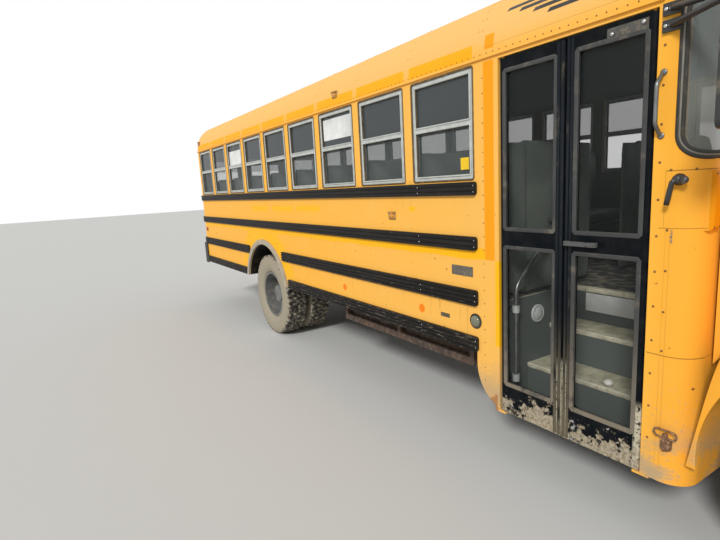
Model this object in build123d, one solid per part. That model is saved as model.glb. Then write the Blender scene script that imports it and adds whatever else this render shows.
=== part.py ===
from build123d import *
import math
import os

# School bus with a tilting nose, in millimetres. +X runs forward, +Y to the bus's left, +Z up.
# The origin is on the ground, in the middle of the whole length and width.

# Overall
bus_length = 9602            # bumper to bumper
body_width = 2438
wheelbase = 5720
front_overhang = 1010        # front bumper's face to the front axle
nose_length = 1683           # front bumper's face to the body's flat front
rear_bumper_depth = 107

# Body shell
wall = 45                    # skin, frame and lining together
corner_radius = 125          # the body's upright corners and the roof's end roundings
end_section = 150            # length of side that belongs to the rear wall
door_post_width = 210        # side of the cowl, from the door opening to the flat front
skirt_z = 725
low_skirt_z = 370            # lower edge beside and ahead of the entrance
belt_z = 1875                # window sills
header_z = 2562              # top of windows and door openings
roof_spring_z = 2615         # where the roof starts to curve in
drip_z = (2583, 2597)
drip_reach = 14
shoulder_radius = 380
shoulder_angle = 76
roof_cap_length = 300
floor_top_z = 1095
floor_thickness = 50
floor_joint = 2
seat_gap = 0.3               # between pieces that sit together on curved faces

# Side windows, counted from the rear
window_pitch = 711
rear_post = 40               # least side left behind the windows
window_width = 605
window_bar = 28              # frame member
window_frame_depth = 32
window_recess = 6
sash_rail_z = 2237           # middle of the rail between upper and lower sash
glass_thickness = 5
post_before_door = 204       # wide post between the last window and the entrance
driver_window_width = 797
rear_window_inset = 719      # body's side to the near edge of the middle
rear_window_width = 520
rear_window_z = 1900
rear_window_height = 550

# Entrance
entrance_width = 905
leaf_side_gap = 8
leaf_middle_gap = 10
leaf_top_gap = 10
leaf_thickness = 38
leaf_recess = 2
pivot_radius = 8
pivot_length = 30
pivot_plate = 14
leaf_glass_width = 344
leaf_glass_edge = 39         # hinge edge of a leaf to its glass
leaf_glass_z = (570, 1453, 1567, 2480)
step_count = 3
step_bottom_z = 400
stepwell_depth = 740
step_plate = 15

# Rear door
rear_door_width = 760
rear_door_top_z = 2450
rear_door_gap = 6
rear_door_window_width = 540
rear_door_window_z = (1250, 1650, 1900, 2350)

# Windscreen
windscreen_side_x = 97       # side edge behind the body's flat front
windscreen_z = (1930, 2600)
windscreen_corner = 90
windscreen_bar = 30
windscreen_inset = 12

# Rub rails
rail_base = 12
rail_ridge = 22
rail_end_radius = 20
rail_end_reach = 27          # past the last window
rail_groove = 10
# z low, z high, ridges
rail_levels = [(1773, 1860, 3), (1413, 1504, 3), (1040, 1147, 4), (skirt_z, 827, 4)]
rail_rear_margin = 25
floor_rail_gap = (-517, 572)      # ends beside the rear arch, from the axle
skirt_rail_gap = (-676, 709)

# Running gear
tyre_radius = 525
tyre_width = 280
tyre_bead_radius = 298
rim_radius = 286
rim_wall = 14
hub_radius = 110
dual_spacing = 330
rear_wheel_inset = 40        # side of the body to the outer tyre's wall
front_wheel_inset = 80
spindle_radius = 42
bearing_gap = 0.1
kingpin_radius = 22
kingpin_inset = 99           # wheel's middle to the kingpin
kingpin_boss = 110
arch_radius = 628
arch_center_z = 570
flare_width = 62
flare_depth = 24
wheelhouse_sheet = 12
wheelhouse_clearance = 29

# Chassis
rail_clearance = 108         # wheel house to the frame rail
rail_flange = 80
rail_sheet = 8
rail_z = 660
rail_height = 250
sill_width = 60
spring_offset = 48           # frame rail to the spring's middle
spring_width = 80

# Nose that tilts forward. Set-backs run from the front bumper's face, insets from the body's side.
hood_gap = 14
hood_sheet = 20
hood_rear = (164, 960, 1850, 170)       # inset, bottom z, top z, shoulder radius
hood_front = (419, 960, 1480, 150)
hood_front_set_back = 201
nose_set_back = 111
nose_bottom_z = 735
fender_side_inset = 14
fender_inner_inset = 519
fender_round = 120
fender_radius = 790
fender_bottom_z = 500
fender_rear = (-10, 72)      # ahead of the body's flat front: at the foot, at the hood's low edge
fender_set_back = 151
fender_front_top_z = 1120
fender_front_bottom_z = 560
front_arch_radius = 645
hinge_set_back = 151
hinge_z = 720

# Ends of the frame, bumpers and rear door
bumper_depth = 80
rail_set_back = 241
bracket_z = (590, 675)
hinge_pin_radius = 15
hinge_lug = 20
bumper_inset = 49
front_bumper_z = (430, 700)
rear_bumper_z = (700, 1040)
bumper_stand_off = 20
bumper_round = 130
bumper_wrap = 155            # along the body's side
rear_wall_z = 915
rear_hinge_z = [1300, 1780, 2280]
hinge_knuckle = 12
hinge_pin = 6
hinge_height = 45
hinge_strap = 90
hinge_sheet = 5
vent_inset = (62, 138)
vent_z = (1598, 1855)
vent_reach = 20
plate_hole_z = 560
plate_hole_spacing = 178
plate_hole_radius = 3.5
tow_plate = 110
tow_hole_radius = 24
tow_thickness = 22
low_skirt_margin = 10
low_corner_radius = 270

# Chassis members, drive and exhaust
cross_z = 770
cross_member_margin = 501    # from the rear end
cross_member_spacing = 1450
front_member_margin = 200    # behind the front end of the frame rails
engine_offset = 72           # ahead of the body's flat front
engine_length = 890
engine_clearance = 132       # to the frame rail's outer face
engine_mount_margin = (260, 80)
engine_z = (560, 1480)
gearbox_length = 840
gearbox_radius = 170
shaft_front_z = 690
shaft_radius = 50
shaft_gap = 3
radiator_set_back = 275      # behind the front of the hood's slope
radiator_depth = 70
radiator_clearance = 52
radiator_top_z = 1330
tank_margin = 376            # behind the entrance
tank_length = 1812
tank_inset = 205
tank_offset = 88             # outside the frame rail
tank_z = (528, 895)
tank_round = 60
guard_size = 55
muffler_margin = 903         # behind the entrance
muffler_length = 900
muffler_offset = 228
muffler_z = 770
muffler_radius = 110
pipe_radius = 38
pipe_z = 590
pipe_clearance = 20

# Springs, axles and steering
spring_half_length = 620
spring_leaf = 16
front_spring_thickness = 62
rear_spring_thickness = 80
front_eye_z = 640
rear_eye_z = 720
rear_spring_z = 600
axle_drop = 30
beam_depth = 90
beam_height = 95
kingpin_length = 230
axle_tube_radius = 65
rear_tube_clearance = 59
rear_spindle_margin = 29
banjo_depth = 300
banjo_radius = 190
ear_gap = 6
ear_height = 45
steer_arm = 190
tie_pin_radius = 12
front_dish = 150
front_hub_nose = 62
front_hub_depth = -60
rear_hub_y = (-40, 420)
disc_face_radius = 175
hand_holes = 10
hand_hole_pcd = 430
hand_hole_radius = 24

# Inside
aisle_half = 180
seat_pan_height = 335
seat_pan = 25
seat_cushion_height = 110
seat_back_depth = 90
seat_depth = 400
seat_total_height = 1020
barrier_margin = 73          # behind the entrance
barrier_depth = 40
barrier_top_z = 2115
driver_seat_reach = 580      # behind the steering wheel
driver_inset = 579
driver_seat_half = 240
driver_seat_height = 330
dash_z = (1560, 1810)
dash_depth = 150
steering_set_back = 328      # behind the body's flat front
steering_z = 1850
steering_tilt = 21
steering_wheel_radius = 220
steering_rim = 15
steering_hub_height = 70
steering_column_length = 420
steering_column_radius = 38
grab_radius = 15
grab_inset = 60              # inside the body's lining
grab_z = (560, 1190, 1610)   # foot, bend and top end
grab_reach = 500
grab_offset = 45             # ahead of the rear door post
bracket_size = 24
grab_brackets = ((570, 600), (1030, 1060))
pull_z = (2012, 2291)        # feet of the bar on the front door post
pull_slant = 54              # from each foot to the straight of the bar
pull_radius = 9
pull_stand_off = 45

# Fittings
latch_inset = 88             # behind the body's flat front
warning_z = 2750
warning_radius = 105
warning_inset = (749, 419)   # from the body's side: amber, then red
# measured from, offset, z, colour, radius
side_lamps = [("last window", 1, 934, "amber", 45), ("last window", -894, 1625, "amber", 28),
              ("last window", -1704, 2693, "amber", 26), ("rear", 224, 1290, "red", 28),
              ("rear", 194, 2714, "red", 26)]
# inset, z, colour of the round lamps on the rear wall
rear_lamps = [(439, 1330, "red"), (219, 1330, "amber")]
rear_lamp_radius = 95
release_set_back = 90        # emergency release, behind the body's flat front
release_z = 1824
release_radius = 22
release_reach = 50
latch_z = (548, 625, 655)    # stem's low end, bar's low edge, bar's top
latch_stem = 22
latch_bar = 55
latch_reach = 30
lamp_sink = 60               # into the curved roof, before it is trimmed to it
mirror_reach = 232           # ahead of the body's flat front
mirror_offset = 261          # outside the body's side
mirror_z = (2000, 2360)
mirror_arm_z = (2470, 2537)  # lower and upper bar at the post
mirror_stem = 110            # the bars meet this far above its top
mirror_half = 90
mirror_depth = 50
stop_margin = 99             # behind the last window's front edge
stop_z = 1640
stop_stand_off = 52
stop_half = 229

# Face of the nose
grille_margin = 370          # to the hood's side
grille_z = (860, 1340)
grille_slots = 6
grille_bar = 24
headlamp_offset = 100        # outside the fender's inner edge
headlamp_z = 930
headlamp_width = 240
headlamp_height = 170

# Worked out from the sizes above
half_width = body_width / 2
front_x = bus_length / 2
rear_x = -bus_length / 2
body_rear_x = rear_x + rear_bumper_depth
cowl_x = front_x - nose_length
entrance_front_x = cowl_x - door_post_width
entrance_rear_x = entrance_front_x - entrance_width
rear_split_x = body_rear_x + end_section
last_window_front_x = entrance_rear_x - post_before_door
front_axle_x = front_x - front_overhang
rear_axle_x = front_axle_x - wheelbase
floor_bottom_z = floor_top_z - floor_thickness
inner_y = half_width - wall
rail_top_z = rail_z + rail_height
window_post = window_pitch - window_width
window_run = last_window_front_x - rear_split_x - rear_post + window_post
window_count = int(window_run / window_pitch)
rail_front_x = last_window_front_x + rail_end_reach
bumper_wrap_x = body_rear_x + bumper_wrap
bumper_half_width = half_width - bumper_inset
rear_window_inner_y = half_width - rear_window_inset
front_y = half_width - front_wheel_inset - tyre_width / 2
rear_y = half_width - rear_wheel_inset - tyre_width / 2
kingpin_y = front_y - kingpin_inset
rear_spindle_y = rear_y - rear_spindle_margin
rear_tube_y = rear_y - rear_hub_y[1] - rear_tube_clearance
wheelhouse_inner_y = rear_y - tyre_width / 2 - dual_spacing - wheelhouse_clearance
rail_outer_y = wheelhouse_inner_y - rail_clearance
spring_y = rail_outer_y + spring_offset
hinge_lug_y = spring_y
hood_front_x = front_x - hood_front_set_back
nose_front_x = front_x - nose_set_back
fender_front_x = front_x - fender_set_back
hinge_x = front_x - hinge_set_back
rail_front_end_x = front_x - rail_set_back
hood_rear_half = half_width - hood_rear[0]
hood_front_half = half_width - hood_front[0]
fender_side_y = half_width - fender_side_inset
fender_inner_y = half_width - fender_inner_inset
grille_half_width = hood_front_half - grille_margin
headlamp_y = fender_inner_y + headlamp_offset
engine_rear_x = cowl_x + engine_offset
engine_front_x = engine_rear_x + engine_length
engine_half_width = rail_outer_y - engine_clearance
gearbox_rear_x = engine_rear_x - gearbox_length
radiator_x = hood_front_x - radiator_set_back
radiator_half_width = rail_outer_y - radiator_clearance
tank_front_x = entrance_rear_x - tank_margin
tank_rear_x = tank_front_x - tank_length
tank_inner_y = rail_outer_y + tank_offset
muffler_x = (entrance_rear_x - muffler_margin - muffler_length, entrance_rear_x - muffler_margin)
muffler_y = rail_outer_y + muffler_offset
pipe_y = engine_half_width + pipe_radius + pipe_clearance
barrier_x = entrance_rear_x - barrier_margin
steering_x = cowl_x - steering_set_back
driver_seat_x = steering_x - driver_seat_reach
driver_y = half_width - driver_inset
mirror_x = cowl_x + mirror_reach
mirror_y = half_width + mirror_offset
stop_x = last_window_front_x - stop_margin
latch_x = cowl_x - latch_inset

part_count = 0


def block(x0, x1, y0, y1, z0, z1):
    """A box between two corners, given in either order."""
    return (Pos((x0 + x1) / 2, (y0 + y1) / 2, (z0 + z1) / 2)
            * Box(abs(x1 - x0), abs(y1 - y0), abs(z1 - z0)))


def rect_face(u0, u1, v0, v1, radius=0):
    """A flat rectangle between two corners, its corners rounded."""
    width, height = u1 - u0, v1 - v0
    face = RectangleRounded(width, height, radius) if radius else Rectangle(width, height)
    return Pos((u0 + u1) / 2, (v0 + v1) / 2) * face


def side_plate(face, y0, y1):
    """A face drawn in X and Z, thick from y0 to y1."""
    return extrude(Plane.XZ.offset(-y1) * face, y1 - y0)


def cross_plate(face, x0, x1):
    """A face drawn in Y and Z, thick from x0 to x1."""
    return extrude(Plane.YZ.offset(x0) * face, x1 - x0)


def flat_plate(face, z0, z1):
    """A face drawn in X and Y, thick from z0 to z1."""
    return extrude(Plane.XY.offset(z0) * face, z1 - z0)


def rod(start, end, radius):
    """A round bar from one point to another."""
    run = Vector(*end) - Vector(*start)
    return extrude(Plane(origin=start, z_dir=run) * Circle(radius), run.length)


def bent_tube(points, radius, bend):
    """A round tube along straight runs joined by arcs."""
    path = FilletPolyline(*points, radius=bend)
    return sweep(Plane(origin=path @ 0, z_dir=path % 0) * Circle(radius), path=path)


def group(*shapes):
    """Several solids kept apart in one piece."""
    return Compound([solid for shape in shapes for solid in shape.solids()])


def both_sides(*shapes):
    """The shapes and their mirror images on the other side of the bus."""
    mirrored = [mirror(shape, about=Plane.XZ) for shape in shapes]
    return group(*shapes, *mirrored)


def write(name, shape):
    """Write one sub-part's file."""
    global part_count
    export_step(shape, f"parts/{name}.step")
    part_count += 1


def plan_face(inset):
    """The body's outline from above, moved in by the inset."""
    return rect_face(body_rear_x + inset, cowl_x - inset, -half_width + inset,
                     half_width - inset, corner_radius - inset)


def plan_ring(outer, inner, z0, z1):
    """An upright wall that follows the body's outline."""
    return flat_plate(plan_face(outer) - plan_face(inner), z0, z1)


def roof_face(inset, base_z):
    """The roof's section: short upright sides, tight shoulders and a wide crown."""
    a = math.radians(shoulder_angle)
    shoulder = shoulder_radius - inset
    crown_radius = (half_width - shoulder_radius * (1 - math.cos(a))) / math.cos(a)
    crown = crown_radius - inset
    shoulder_y = half_width - shoulder_radius
    crown_z = roof_spring_z + (shoulder_radius - crown_radius) * math.sin(a)

    def on_shoulder(angle, sign):
        return (sign * (shoulder_y + shoulder * math.cos(angle)),
                roof_spring_z + shoulder * math.sin(angle))

    side = half_width - inset
    right = [on_shoulder(0, -1), on_shoulder(a / 2, -1), on_shoulder(a, -1)]
    left = [on_shoulder(a, 1), on_shoulder(a / 2, 1), on_shoulder(0, 1)]
    outline = [
        Line((-side, base_z), right[0]),
        ThreePointArc(*right),
        ThreePointArc(right[2], (0, crown_z + crown), left[0]),
        ThreePointArc(*left),
        Line(left[2], (side, base_z)),
        Line((side, base_z), (-side, base_z)),
    ]
    return make_face(outline)


def window_openings():
    """Rear and front edge of each side window, from the rear."""
    first = last_window_front_x - window_width - (window_count - 1) * window_pitch
    return [(first + i * window_pitch, first + i * window_pitch + window_width)
            for i in range(window_count)]


def windscreen_space(grow=0):
    """What the windscreen opening removes: it wraps round both corners."""
    face = rect_face(cowl_x - windscreen_side_x - grow, cowl_x + corner_radius * 2,
                     windscreen_z[0] - grow, windscreen_z[1] + grow, windscreen_corner)
    return side_plate(face, -half_width * 2, half_width * 2)


def make_chassis():
    channel = block(rear_x + rail_base, rail_front_end_x, -rail_outer_y,
                    -rail_outer_y + rail_flange, rail_z, rail_top_z)
    channel -= block(rear_x, front_x, -rail_outer_y + rail_sheet, -rail_outer_y + rail_flange * 2,
                     rail_z + rail_sheet, rail_top_z - rail_sheet)
    # Bumper bracket under the front end, with the ear and pin that carry the nose
    bracket_y = -rail_outer_y + rail_flange / 2
    channel += block(rail_front_end_x - 80, front_x - bumper_depth, -rail_outer_y, bracket_y,
                     bracket_z[0], bracket_z[1])
    channel += block(hinge_x - 35, hinge_x + 20, -rail_outer_y, -rail_outer_y + 20,
                     bracket_z[1] - 1, hinge_z + 22)
    channel += rod((hinge_x, -hinge_lug_y - 20, hinge_z), (hinge_x, -rail_outer_y + 1, hinge_z),
                   hinge_pin_radius)
    # Towing eyes under both ends
    for x, top in ((rear_x + rail_base + tow_plate / 2, rail_z),
                   (front_x - bumper_depth - tow_plate / 2, bracket_z[0])):
        face = rect_face(x - tow_plate / 2, x + tow_plate / 2, top - tow_plate, top + 1)
        face -= Pos(x, top - tow_plate / 2) * Circle(tow_hole_radius)
        channel += side_plate(face, -rail_outer_y, -rail_outer_y + tow_thickness)
    write("frame_rails", both_sides(channel))

    # Cross tubes between the rails, and sills across their tops under the floor
    web_y = rail_outer_y - rail_sheet
    run = gearbox_rear_x - rear_x - cross_member_margin * 1.5
    member_x = [rear_x + cross_member_margin + i * cross_member_spacing
                for i in range(int(run / cross_member_spacing) + 1)]
    member_x.append(rail_front_end_x - front_member_margin)
    members = [block(x - sill_width / 2, x + sill_width / 2, -web_y, web_y, cross_z, cross_z + 110)
               for x in member_x]
    for x in (engine_rear_x + engine_mount_margin[0], engine_front_x - engine_mount_margin[1]):
        for side in (-1, 1):
            members.append(block(x - 50, x + 50, side * engine_half_width, side * web_y,
                                 cross_z - 20, cross_z + 60))
    # x, reach to the right, reach to the left
    for x, right, left in sill_rows():
        members.append(block(x - sill_width / 2, x + sill_width / 2, -right, left,
                             rail_top_z, floor_bottom_z))
    write("crossmembers", group(*members))

    engine = block(engine_rear_x, engine_front_x, -engine_half_width, engine_half_width,
                   engine_z[0], engine_z[1])
    gearbox = rod((gearbox_rear_x, 0, shaft_front_z), (engine_rear_x + 1, 0, shaft_front_z),
                  gearbox_radius)
    write("engine_block", chamfer(engine.edges().filter_by(Axis.X), 60) + gearbox)

    core = block(radiator_x, radiator_x + radiator_depth, -radiator_half_width,
                 radiator_half_width, rail_top_z, radiator_top_z)
    write("radiator", core)

    tank = block(tank_rear_x, tank_front_x, -half_width + tank_inset, -tank_inner_y,
                 tank_z[0], tank_z[1])
    tank = fillet(tank.edges().filter_by(Axis.X), tank_round)
    strap_x = [tank_rear_x + 300, tank_front_x - 300]
    straps = [block(x - 40, x + 40, -tank_inner_y, -rail_outer_y, rail_z + 60, rail_z + 160)
              for x in strap_x]
    guard = block(tank_rear_x, tank_front_x, -half_width + tank_inset - guard_size - seat_gap,
                  -half_width + tank_inset - seat_gap, tank_z[0], tank_z[0] + guard_size)
    hangers = [block(x - 20, x + 20, -half_width + tank_inset - guard_size - seat_gap,
                     -half_width + tank_inset - seat_gap, tank_z[0] + guard_size, skirt_z + 60)
               for x in (tank_rear_x + 20, (tank_rear_x + tank_front_x) / 2, tank_front_x - 20)]
    for hanger in hangers:
        guard += hanger
    write("fuel_tank", group(tank, *straps, guard))

    muffler = rod((muffler_x[0], muffler_y, muffler_z), (muffler_x[1], muffler_y, muffler_z),
                  muffler_radius)
    front_pipe = bent_tube([(muffler_x[1] - 1, muffler_y, muffler_z),
                            (muffler_x[1] + 500, muffler_y, muffler_z),
                            (muffler_x[1] + 900, muffler_y, pipe_z),
                            (engine_rear_x - 200, muffler_y, pipe_z),
                            (engine_rear_x - 200 + muffler_y - pipe_y, pipe_y, pipe_z)],
                           pipe_radius, 150)
    tail_pipe = bent_tube([(muffler_x[0] + 1, muffler_y, muffler_z),
                           (muffler_x[0] - 500, muffler_y, muffler_z),
                           (muffler_x[0] - 800, muffler_y + 150, pipe_z + 20),
                           (muffler_x[0] - 900, half_width - 40, pipe_z + 20)],
                          pipe_radius, 120)
    hanger = block(muffler_x[0] + 100, muffler_x[0] + 160, rail_outer_y,
                   muffler_y - muffler_radius + 5, muffler_z - 40, muffler_z + 40)
    write("exhaust", muffler + front_pipe + tail_pipe + hanger)


def sill_rows():
    """Where the cross sills stand, and how far each reaches to the right and left."""
    reach = inner_y - 20
    rows = []
    for rear, front in window_openings():
        x = rear - window_post / 2
        beside_arch = abs(x - rear_axle_x) < arch_radius + wheelhouse_sheet + sill_width
        side = wheelhouse_inner_y - 10 if beside_arch else reach
        rows.append((x, side, side))
    rows.append((last_window_front_x + window_post / 2, reach, reach))
    step_y = half_width - stepwell_depth - step_plate - 10
    rows.append((entrance_rear_x + entrance_width / 2, step_y, reach))
    rows.append((entrance_front_x - sill_width, step_y, reach))
    return rows


def leaf_spring(axle_x, mid_z, eye_z, thickness):
    """A curved pack of leaves beside a frame rail, with the brackets that hold its ends."""
    half = spring_half_length
    rise = eye_z - mid_z

    def band(half_length, low, high):
        z = [mid_z + low, mid_z + high]
        lift = rise * (half_length / half) ** 2
        lower = ThreePointArc((axle_x - half_length, z[0] + lift), (axle_x, z[0]),
                              (axle_x + half_length, z[0] + lift))
        upper = ThreePointArc((axle_x + half_length, z[1] + lift), (axle_x, z[1]),
                              (axle_x - half_length, z[1] + lift))
        ends = [Line(lower @ 1, upper @ 0), Line(upper @ 1, lower @ 0)]
        return side_plate(make_face([lower, ends[0], upper, ends[1]]),
                          -spring_y - spring_width / 2, -spring_y + spring_width / 2)

    spring = band(half, thickness - spring_leaf, thickness)
    spring += band(half * 0.72, spring_leaf - 1, thickness - spring_leaf + 1)
    spring += band(half * 0.45, 0, spring_leaf)
    for end in (-1, 1):
        x = axle_x + end * half
        bracket = block(x - 45, x + 45, -spring_y - spring_width / 2, -rail_outer_y,
                        eye_z + thickness - 70, eye_z + thickness + 60)
        spring += bracket
    return spring


def make_axles():
    beam_z = tyre_radius - axle_drop
    pad_y = spring_y + spring_width
    half_depth = beam_depth / 2
    low = block(front_axle_x - half_depth, front_axle_x + half_depth, -pad_y, pad_y,
                beam_z - beam_height, beam_z)
    beam = low
    for side in (-1, 1):
        rise = Polyline((side * (pad_y - 1), beam_z), (side * (pad_y - 1), beam_z - beam_height),
                        (side * kingpin_y, tyre_radius - 40), (side * kingpin_y, tyre_radius + 40),
                        close=True)
        beam += cross_plate(make_face(rise), front_axle_x - half_depth, front_axle_x + half_depth)
        center = (front_axle_x, side * kingpin_y, 0)
        boss = Pos(*center) * Pos(0, 0, tyre_radius) * Cylinder(beam_depth / 2, kingpin_boss)
        pin = Pos(*center) * Pos(0, 0, tyre_radius) * Cylinder(kingpin_radius, kingpin_length)
        beam += boss
        beam += pin
    write("front_axle", beam)

    tube = rod((rear_axle_x, -rear_tube_y, tyre_radius), (rear_axle_x, rear_tube_y, tyre_radius),
               axle_tube_radius)
    spindles = rod((rear_axle_x, -rear_spindle_y, tyre_radius),
                   (rear_axle_x, rear_spindle_y, tyre_radius), spindle_radius)
    banjo = rod((rear_axle_x - banjo_depth / 2, 0, tyre_radius),
                (rear_axle_x + banjo_depth / 2, 0, tyre_radius), banjo_radius)
    shaft = rod((rear_axle_x + banjo_depth / 2 - 1, 0, tyre_radius + 20),
                (gearbox_rear_x - shaft_gap, 0, shaft_front_z), shaft_radius)
    axle = tube + spindles + banjo + shaft
    for side in (-1, 1):
        y = side * spring_y
        axle += block(rear_axle_x - 70, rear_axle_x + 70, y - spring_width / 2,
                      y + spring_width / 2, tyre_radius, rear_spring_z)
    write("rear_axle", axle)

    front = leaf_spring(front_axle_x, beam_z, front_eye_z, front_spring_thickness)
    rear = leaf_spring(rear_axle_x, rear_spring_z, rear_eye_z, rear_spring_thickness)
    write("springs", both_sides(front, rear))


def make_floor():
    floor = flat_plate(plan_face(wall + seat_gap), floor_bottom_z, floor_top_z)
    well_x = (entrance_rear_x - step_plate - seat_gap, entrance_front_x + step_plate + seat_gap)
    well_y = -half_width + stepwell_depth + step_plate + seat_gap
    floor -= block(*well_x, -half_width, well_y, floor_bottom_z - 1, floor_top_z + 1)
    # Joints between the floor's three sheets
    floor -= block(well_x[0] - floor_joint, well_x[0], -half_width, half_width,
                   floor_bottom_z - 1, floor_top_z + 1)
    floor -= block(well_x[1] - 1, cowl_x, well_y, well_y + floor_joint,
                   floor_bottom_z - 1, floor_top_z + 1)
    outer = arch_radius + wheelhouse_sheet
    for side in (-1, 1):
        floor -= rod((rear_axle_x, side * wheelhouse_inner_y, arch_center_z),
                     (rear_axle_x, side * half_width, arch_center_z), outer + seat_gap)
    write("floor", floor)

    y_in, y_out = -wheelhouse_inner_y, -inner_y
    tunnel = rod((rear_axle_x, y_in, arch_center_z), (rear_axle_x, y_out, arch_center_z), outer)
    tunnel -= rod((rear_axle_x, y_in - wheelhouse_sheet, arch_center_z),
                  (rear_axle_x, y_out - 1, arch_center_z), arch_radius)
    tunnel &= block(rear_axle_x - outer, rear_axle_x + outer, -half_width, 0, skirt_z,
                    arch_center_z + outer + 1)
    write("wheel_houses", both_sides(tunnel))

    steps = []
    depth = stepwell_depth - wall
    rise = (floor_top_z - step_bottom_z) / step_count
    run = depth / step_count
    for i in range(step_count):
        y = -inner_y + i * run
        z = step_bottom_z + i * rise
        tread = block(entrance_rear_x, entrance_front_x, y, y + run + step_plate,
                      z - step_plate, z)
        riser = block(entrance_rear_x, entrance_front_x, y + run, y + run + step_plate,
                      z - step_plate, z + rise)
        steps.append(tread + riser)
    stairs = steps[0]
    for step in steps[1:]:
        stairs += step
    for x in (entrance_rear_x - step_plate, entrance_front_x):
        stairs += block(x, x + step_plate, -inner_y, -inner_y + depth + step_plate,
                        step_bottom_z - step_plate, floor_top_z)
    write("stepwell", stairs)


def pivot_foot(jamb_x, pivot_x):
    """A plate under a door post that carries a leaf on its lower pivot."""
    pivot_y = leaf_pivots()[2]
    way = 1 if pivot_x > jamb_x else -1
    foot = block(jamb_x - way * 40, pivot_x + way * 15, pivot_y - 15, pivot_y + 15,
                 low_skirt_z - pivot_plate, low_skirt_z)
    foot += block(jamb_x - way * 40, jamb_x, pivot_y - 15, pivot_y + 15, low_skirt_z - 1,
                  low_skirt_z + 40)
    pin = rod((pivot_x, pivot_y, low_skirt_z - 1), (pivot_x, pivot_y, low_skirt_z + pivot_length - 2),
              pivot_radius)
    return foot + pin


def pivot_pin(pivot_x):
    """The upper pivot of a leaf, hanging from the header."""
    pivot_y = leaf_pivots()[2]
    low = header_z - leaf_top_gap - pivot_length + 2
    return rod((pivot_x, pivot_y, low), (pivot_x, pivot_y, header_z + 1), pivot_radius)


def make_side_panels():
    arch = Pos(rear_axle_x, arch_center_z) * Circle(arch_radius)
    low_x = entrance_rear_x - post_before_door + low_skirt_margin
    low_corner = rect_face(low_x, entrance_front_x, low_skirt_z, skirt_z + low_corner_radius,
                           low_corner_radius)
    upper = rect_face(rear_split_x, entrance_front_x, skirt_z, belt_z)
    low_front = rect_face(low_x + low_corner_radius, entrance_front_x, low_skirt_z, skirt_z + 1)
    panel = upper + low_corner + low_front - arch
    doorway = rect_face(entrance_rear_x, entrance_front_x + 1, low_skirt_z - 1, belt_z + 1)
    rear_pivot, _, _ = leaf_pivots()
    right_panel = side_plate(panel - doorway, -half_width, -inner_y)
    write("side_panel_right", right_panel + pivot_foot(entrance_rear_x, rear_pivot))
    write("side_panel_left", side_plate(panel, inner_y, half_width))

    # Posts between the windows, from the rear
    spans = [(rear_split_x, window_openings()[0][0])]
    spans += [(front, front + window_post) for rear, front in window_openings()[:-1]]
    spans.append((last_window_front_x, entrance_rear_x))
    right = [side_plate(rect_face(x0, x1, belt_z, header_z), -half_width, -inner_y)
             for x0, x1 in spans]
    spans.append((entrance_rear_x + driver_window_width, entrance_front_x))
    left = [side_plate(rect_face(x0, x1, belt_z, header_z), inner_y, half_width)
            for x0, x1 in spans]
    write("window_posts", group(*right, *left))


def make_roof():
    start, end = body_rear_x + roof_cap_length, cowl_x - roof_cap_length
    shell = roof_face(0, header_z) - roof_face(wall, header_z - 1)
    for side in (-1, 1):
        edge, out = sorted((side * (half_width - 1), side * (half_width + drip_reach)))
        shell += rect_face(edge, out, *drip_z)
    rear_pivot, front_pivot, _ = leaf_pivots()
    write("roof", cross_plate(shell, start, end) + pivot_pin(rear_pivot))

    def cap(inset, base_z):
        solid = cross_plate(roof_face(inset, base_z), end - 1 if inset else end, cowl_x - inset)
        rim = solid.faces().sort_by(Axis.X)[-1].edges()
        return fillet([e for e in rim if e.center().Z > base_z + 1], corner_radius - inset)

    front = cap(0, header_z) - cap(wall, header_z - 1)
    middle = (body_rear_x + cowl_x) / 2
    drip = plan_ring(-drip_reach, 1, *drip_z)
    drip -= block(start, end, -bus_length, bus_length, *drip_z)
    side_x = (rear_split_x - corner_radius, cowl_x - windscreen_side_x - windscreen_corner)
    drip &= block(*side_x, -bus_length, bus_length, *drip_z)
    rear = mirror(front, about=Plane.YZ.offset(middle))
    rear += drip & block(side_x[0], start, -bus_length, bus_length, *drip_z)
    front += drip & block(end, side_x[1], -bus_length, bus_length, *drip_z)
    front -= windscreen_space()
    front += pivot_pin(front_pivot)
    write("roof_caps", group(front, rear))


def rear_hinge(z, on_door):
    """Half of a strap hinge: its outer knuckles and pin on the wall, or its sleeve on the door."""
    x = body_rear_x - hinge_knuckle
    y = -rear_door_width / 2 + rear_door_gap / 2
    reach = hinge_strap if on_door else -hinge_strap
    near = hinge_knuckle + 1 if on_door else -hinge_knuckle - 1
    strap = block(body_rear_x - hinge_sheet, body_rear_x + 1, y + near, y + reach,
                  z - hinge_height, z + hinge_height)
    third = hinge_height / 3
    spans = [(-third + 0.5, third - 0.5)] if on_door else [(-hinge_height, -third - 0.5),
                                                           (third + 0.5, hinge_height)]
    for low, high in spans:
        strap += rod((x, y, z + low), (x, y, z + high), hinge_knuckle)
        strap += block(body_rear_x - hinge_sheet, body_rear_x - 1, y, y + near, z + low, z + high)
    if on_door:
        bore = rod((x, y, z - hinge_height), (x, y, z + hinge_height), hinge_pin + bearing_gap)
        return strap - bore
    return strap + rod((x, y, z - hinge_height), (x, y, z + hinge_height), hinge_pin)


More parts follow.
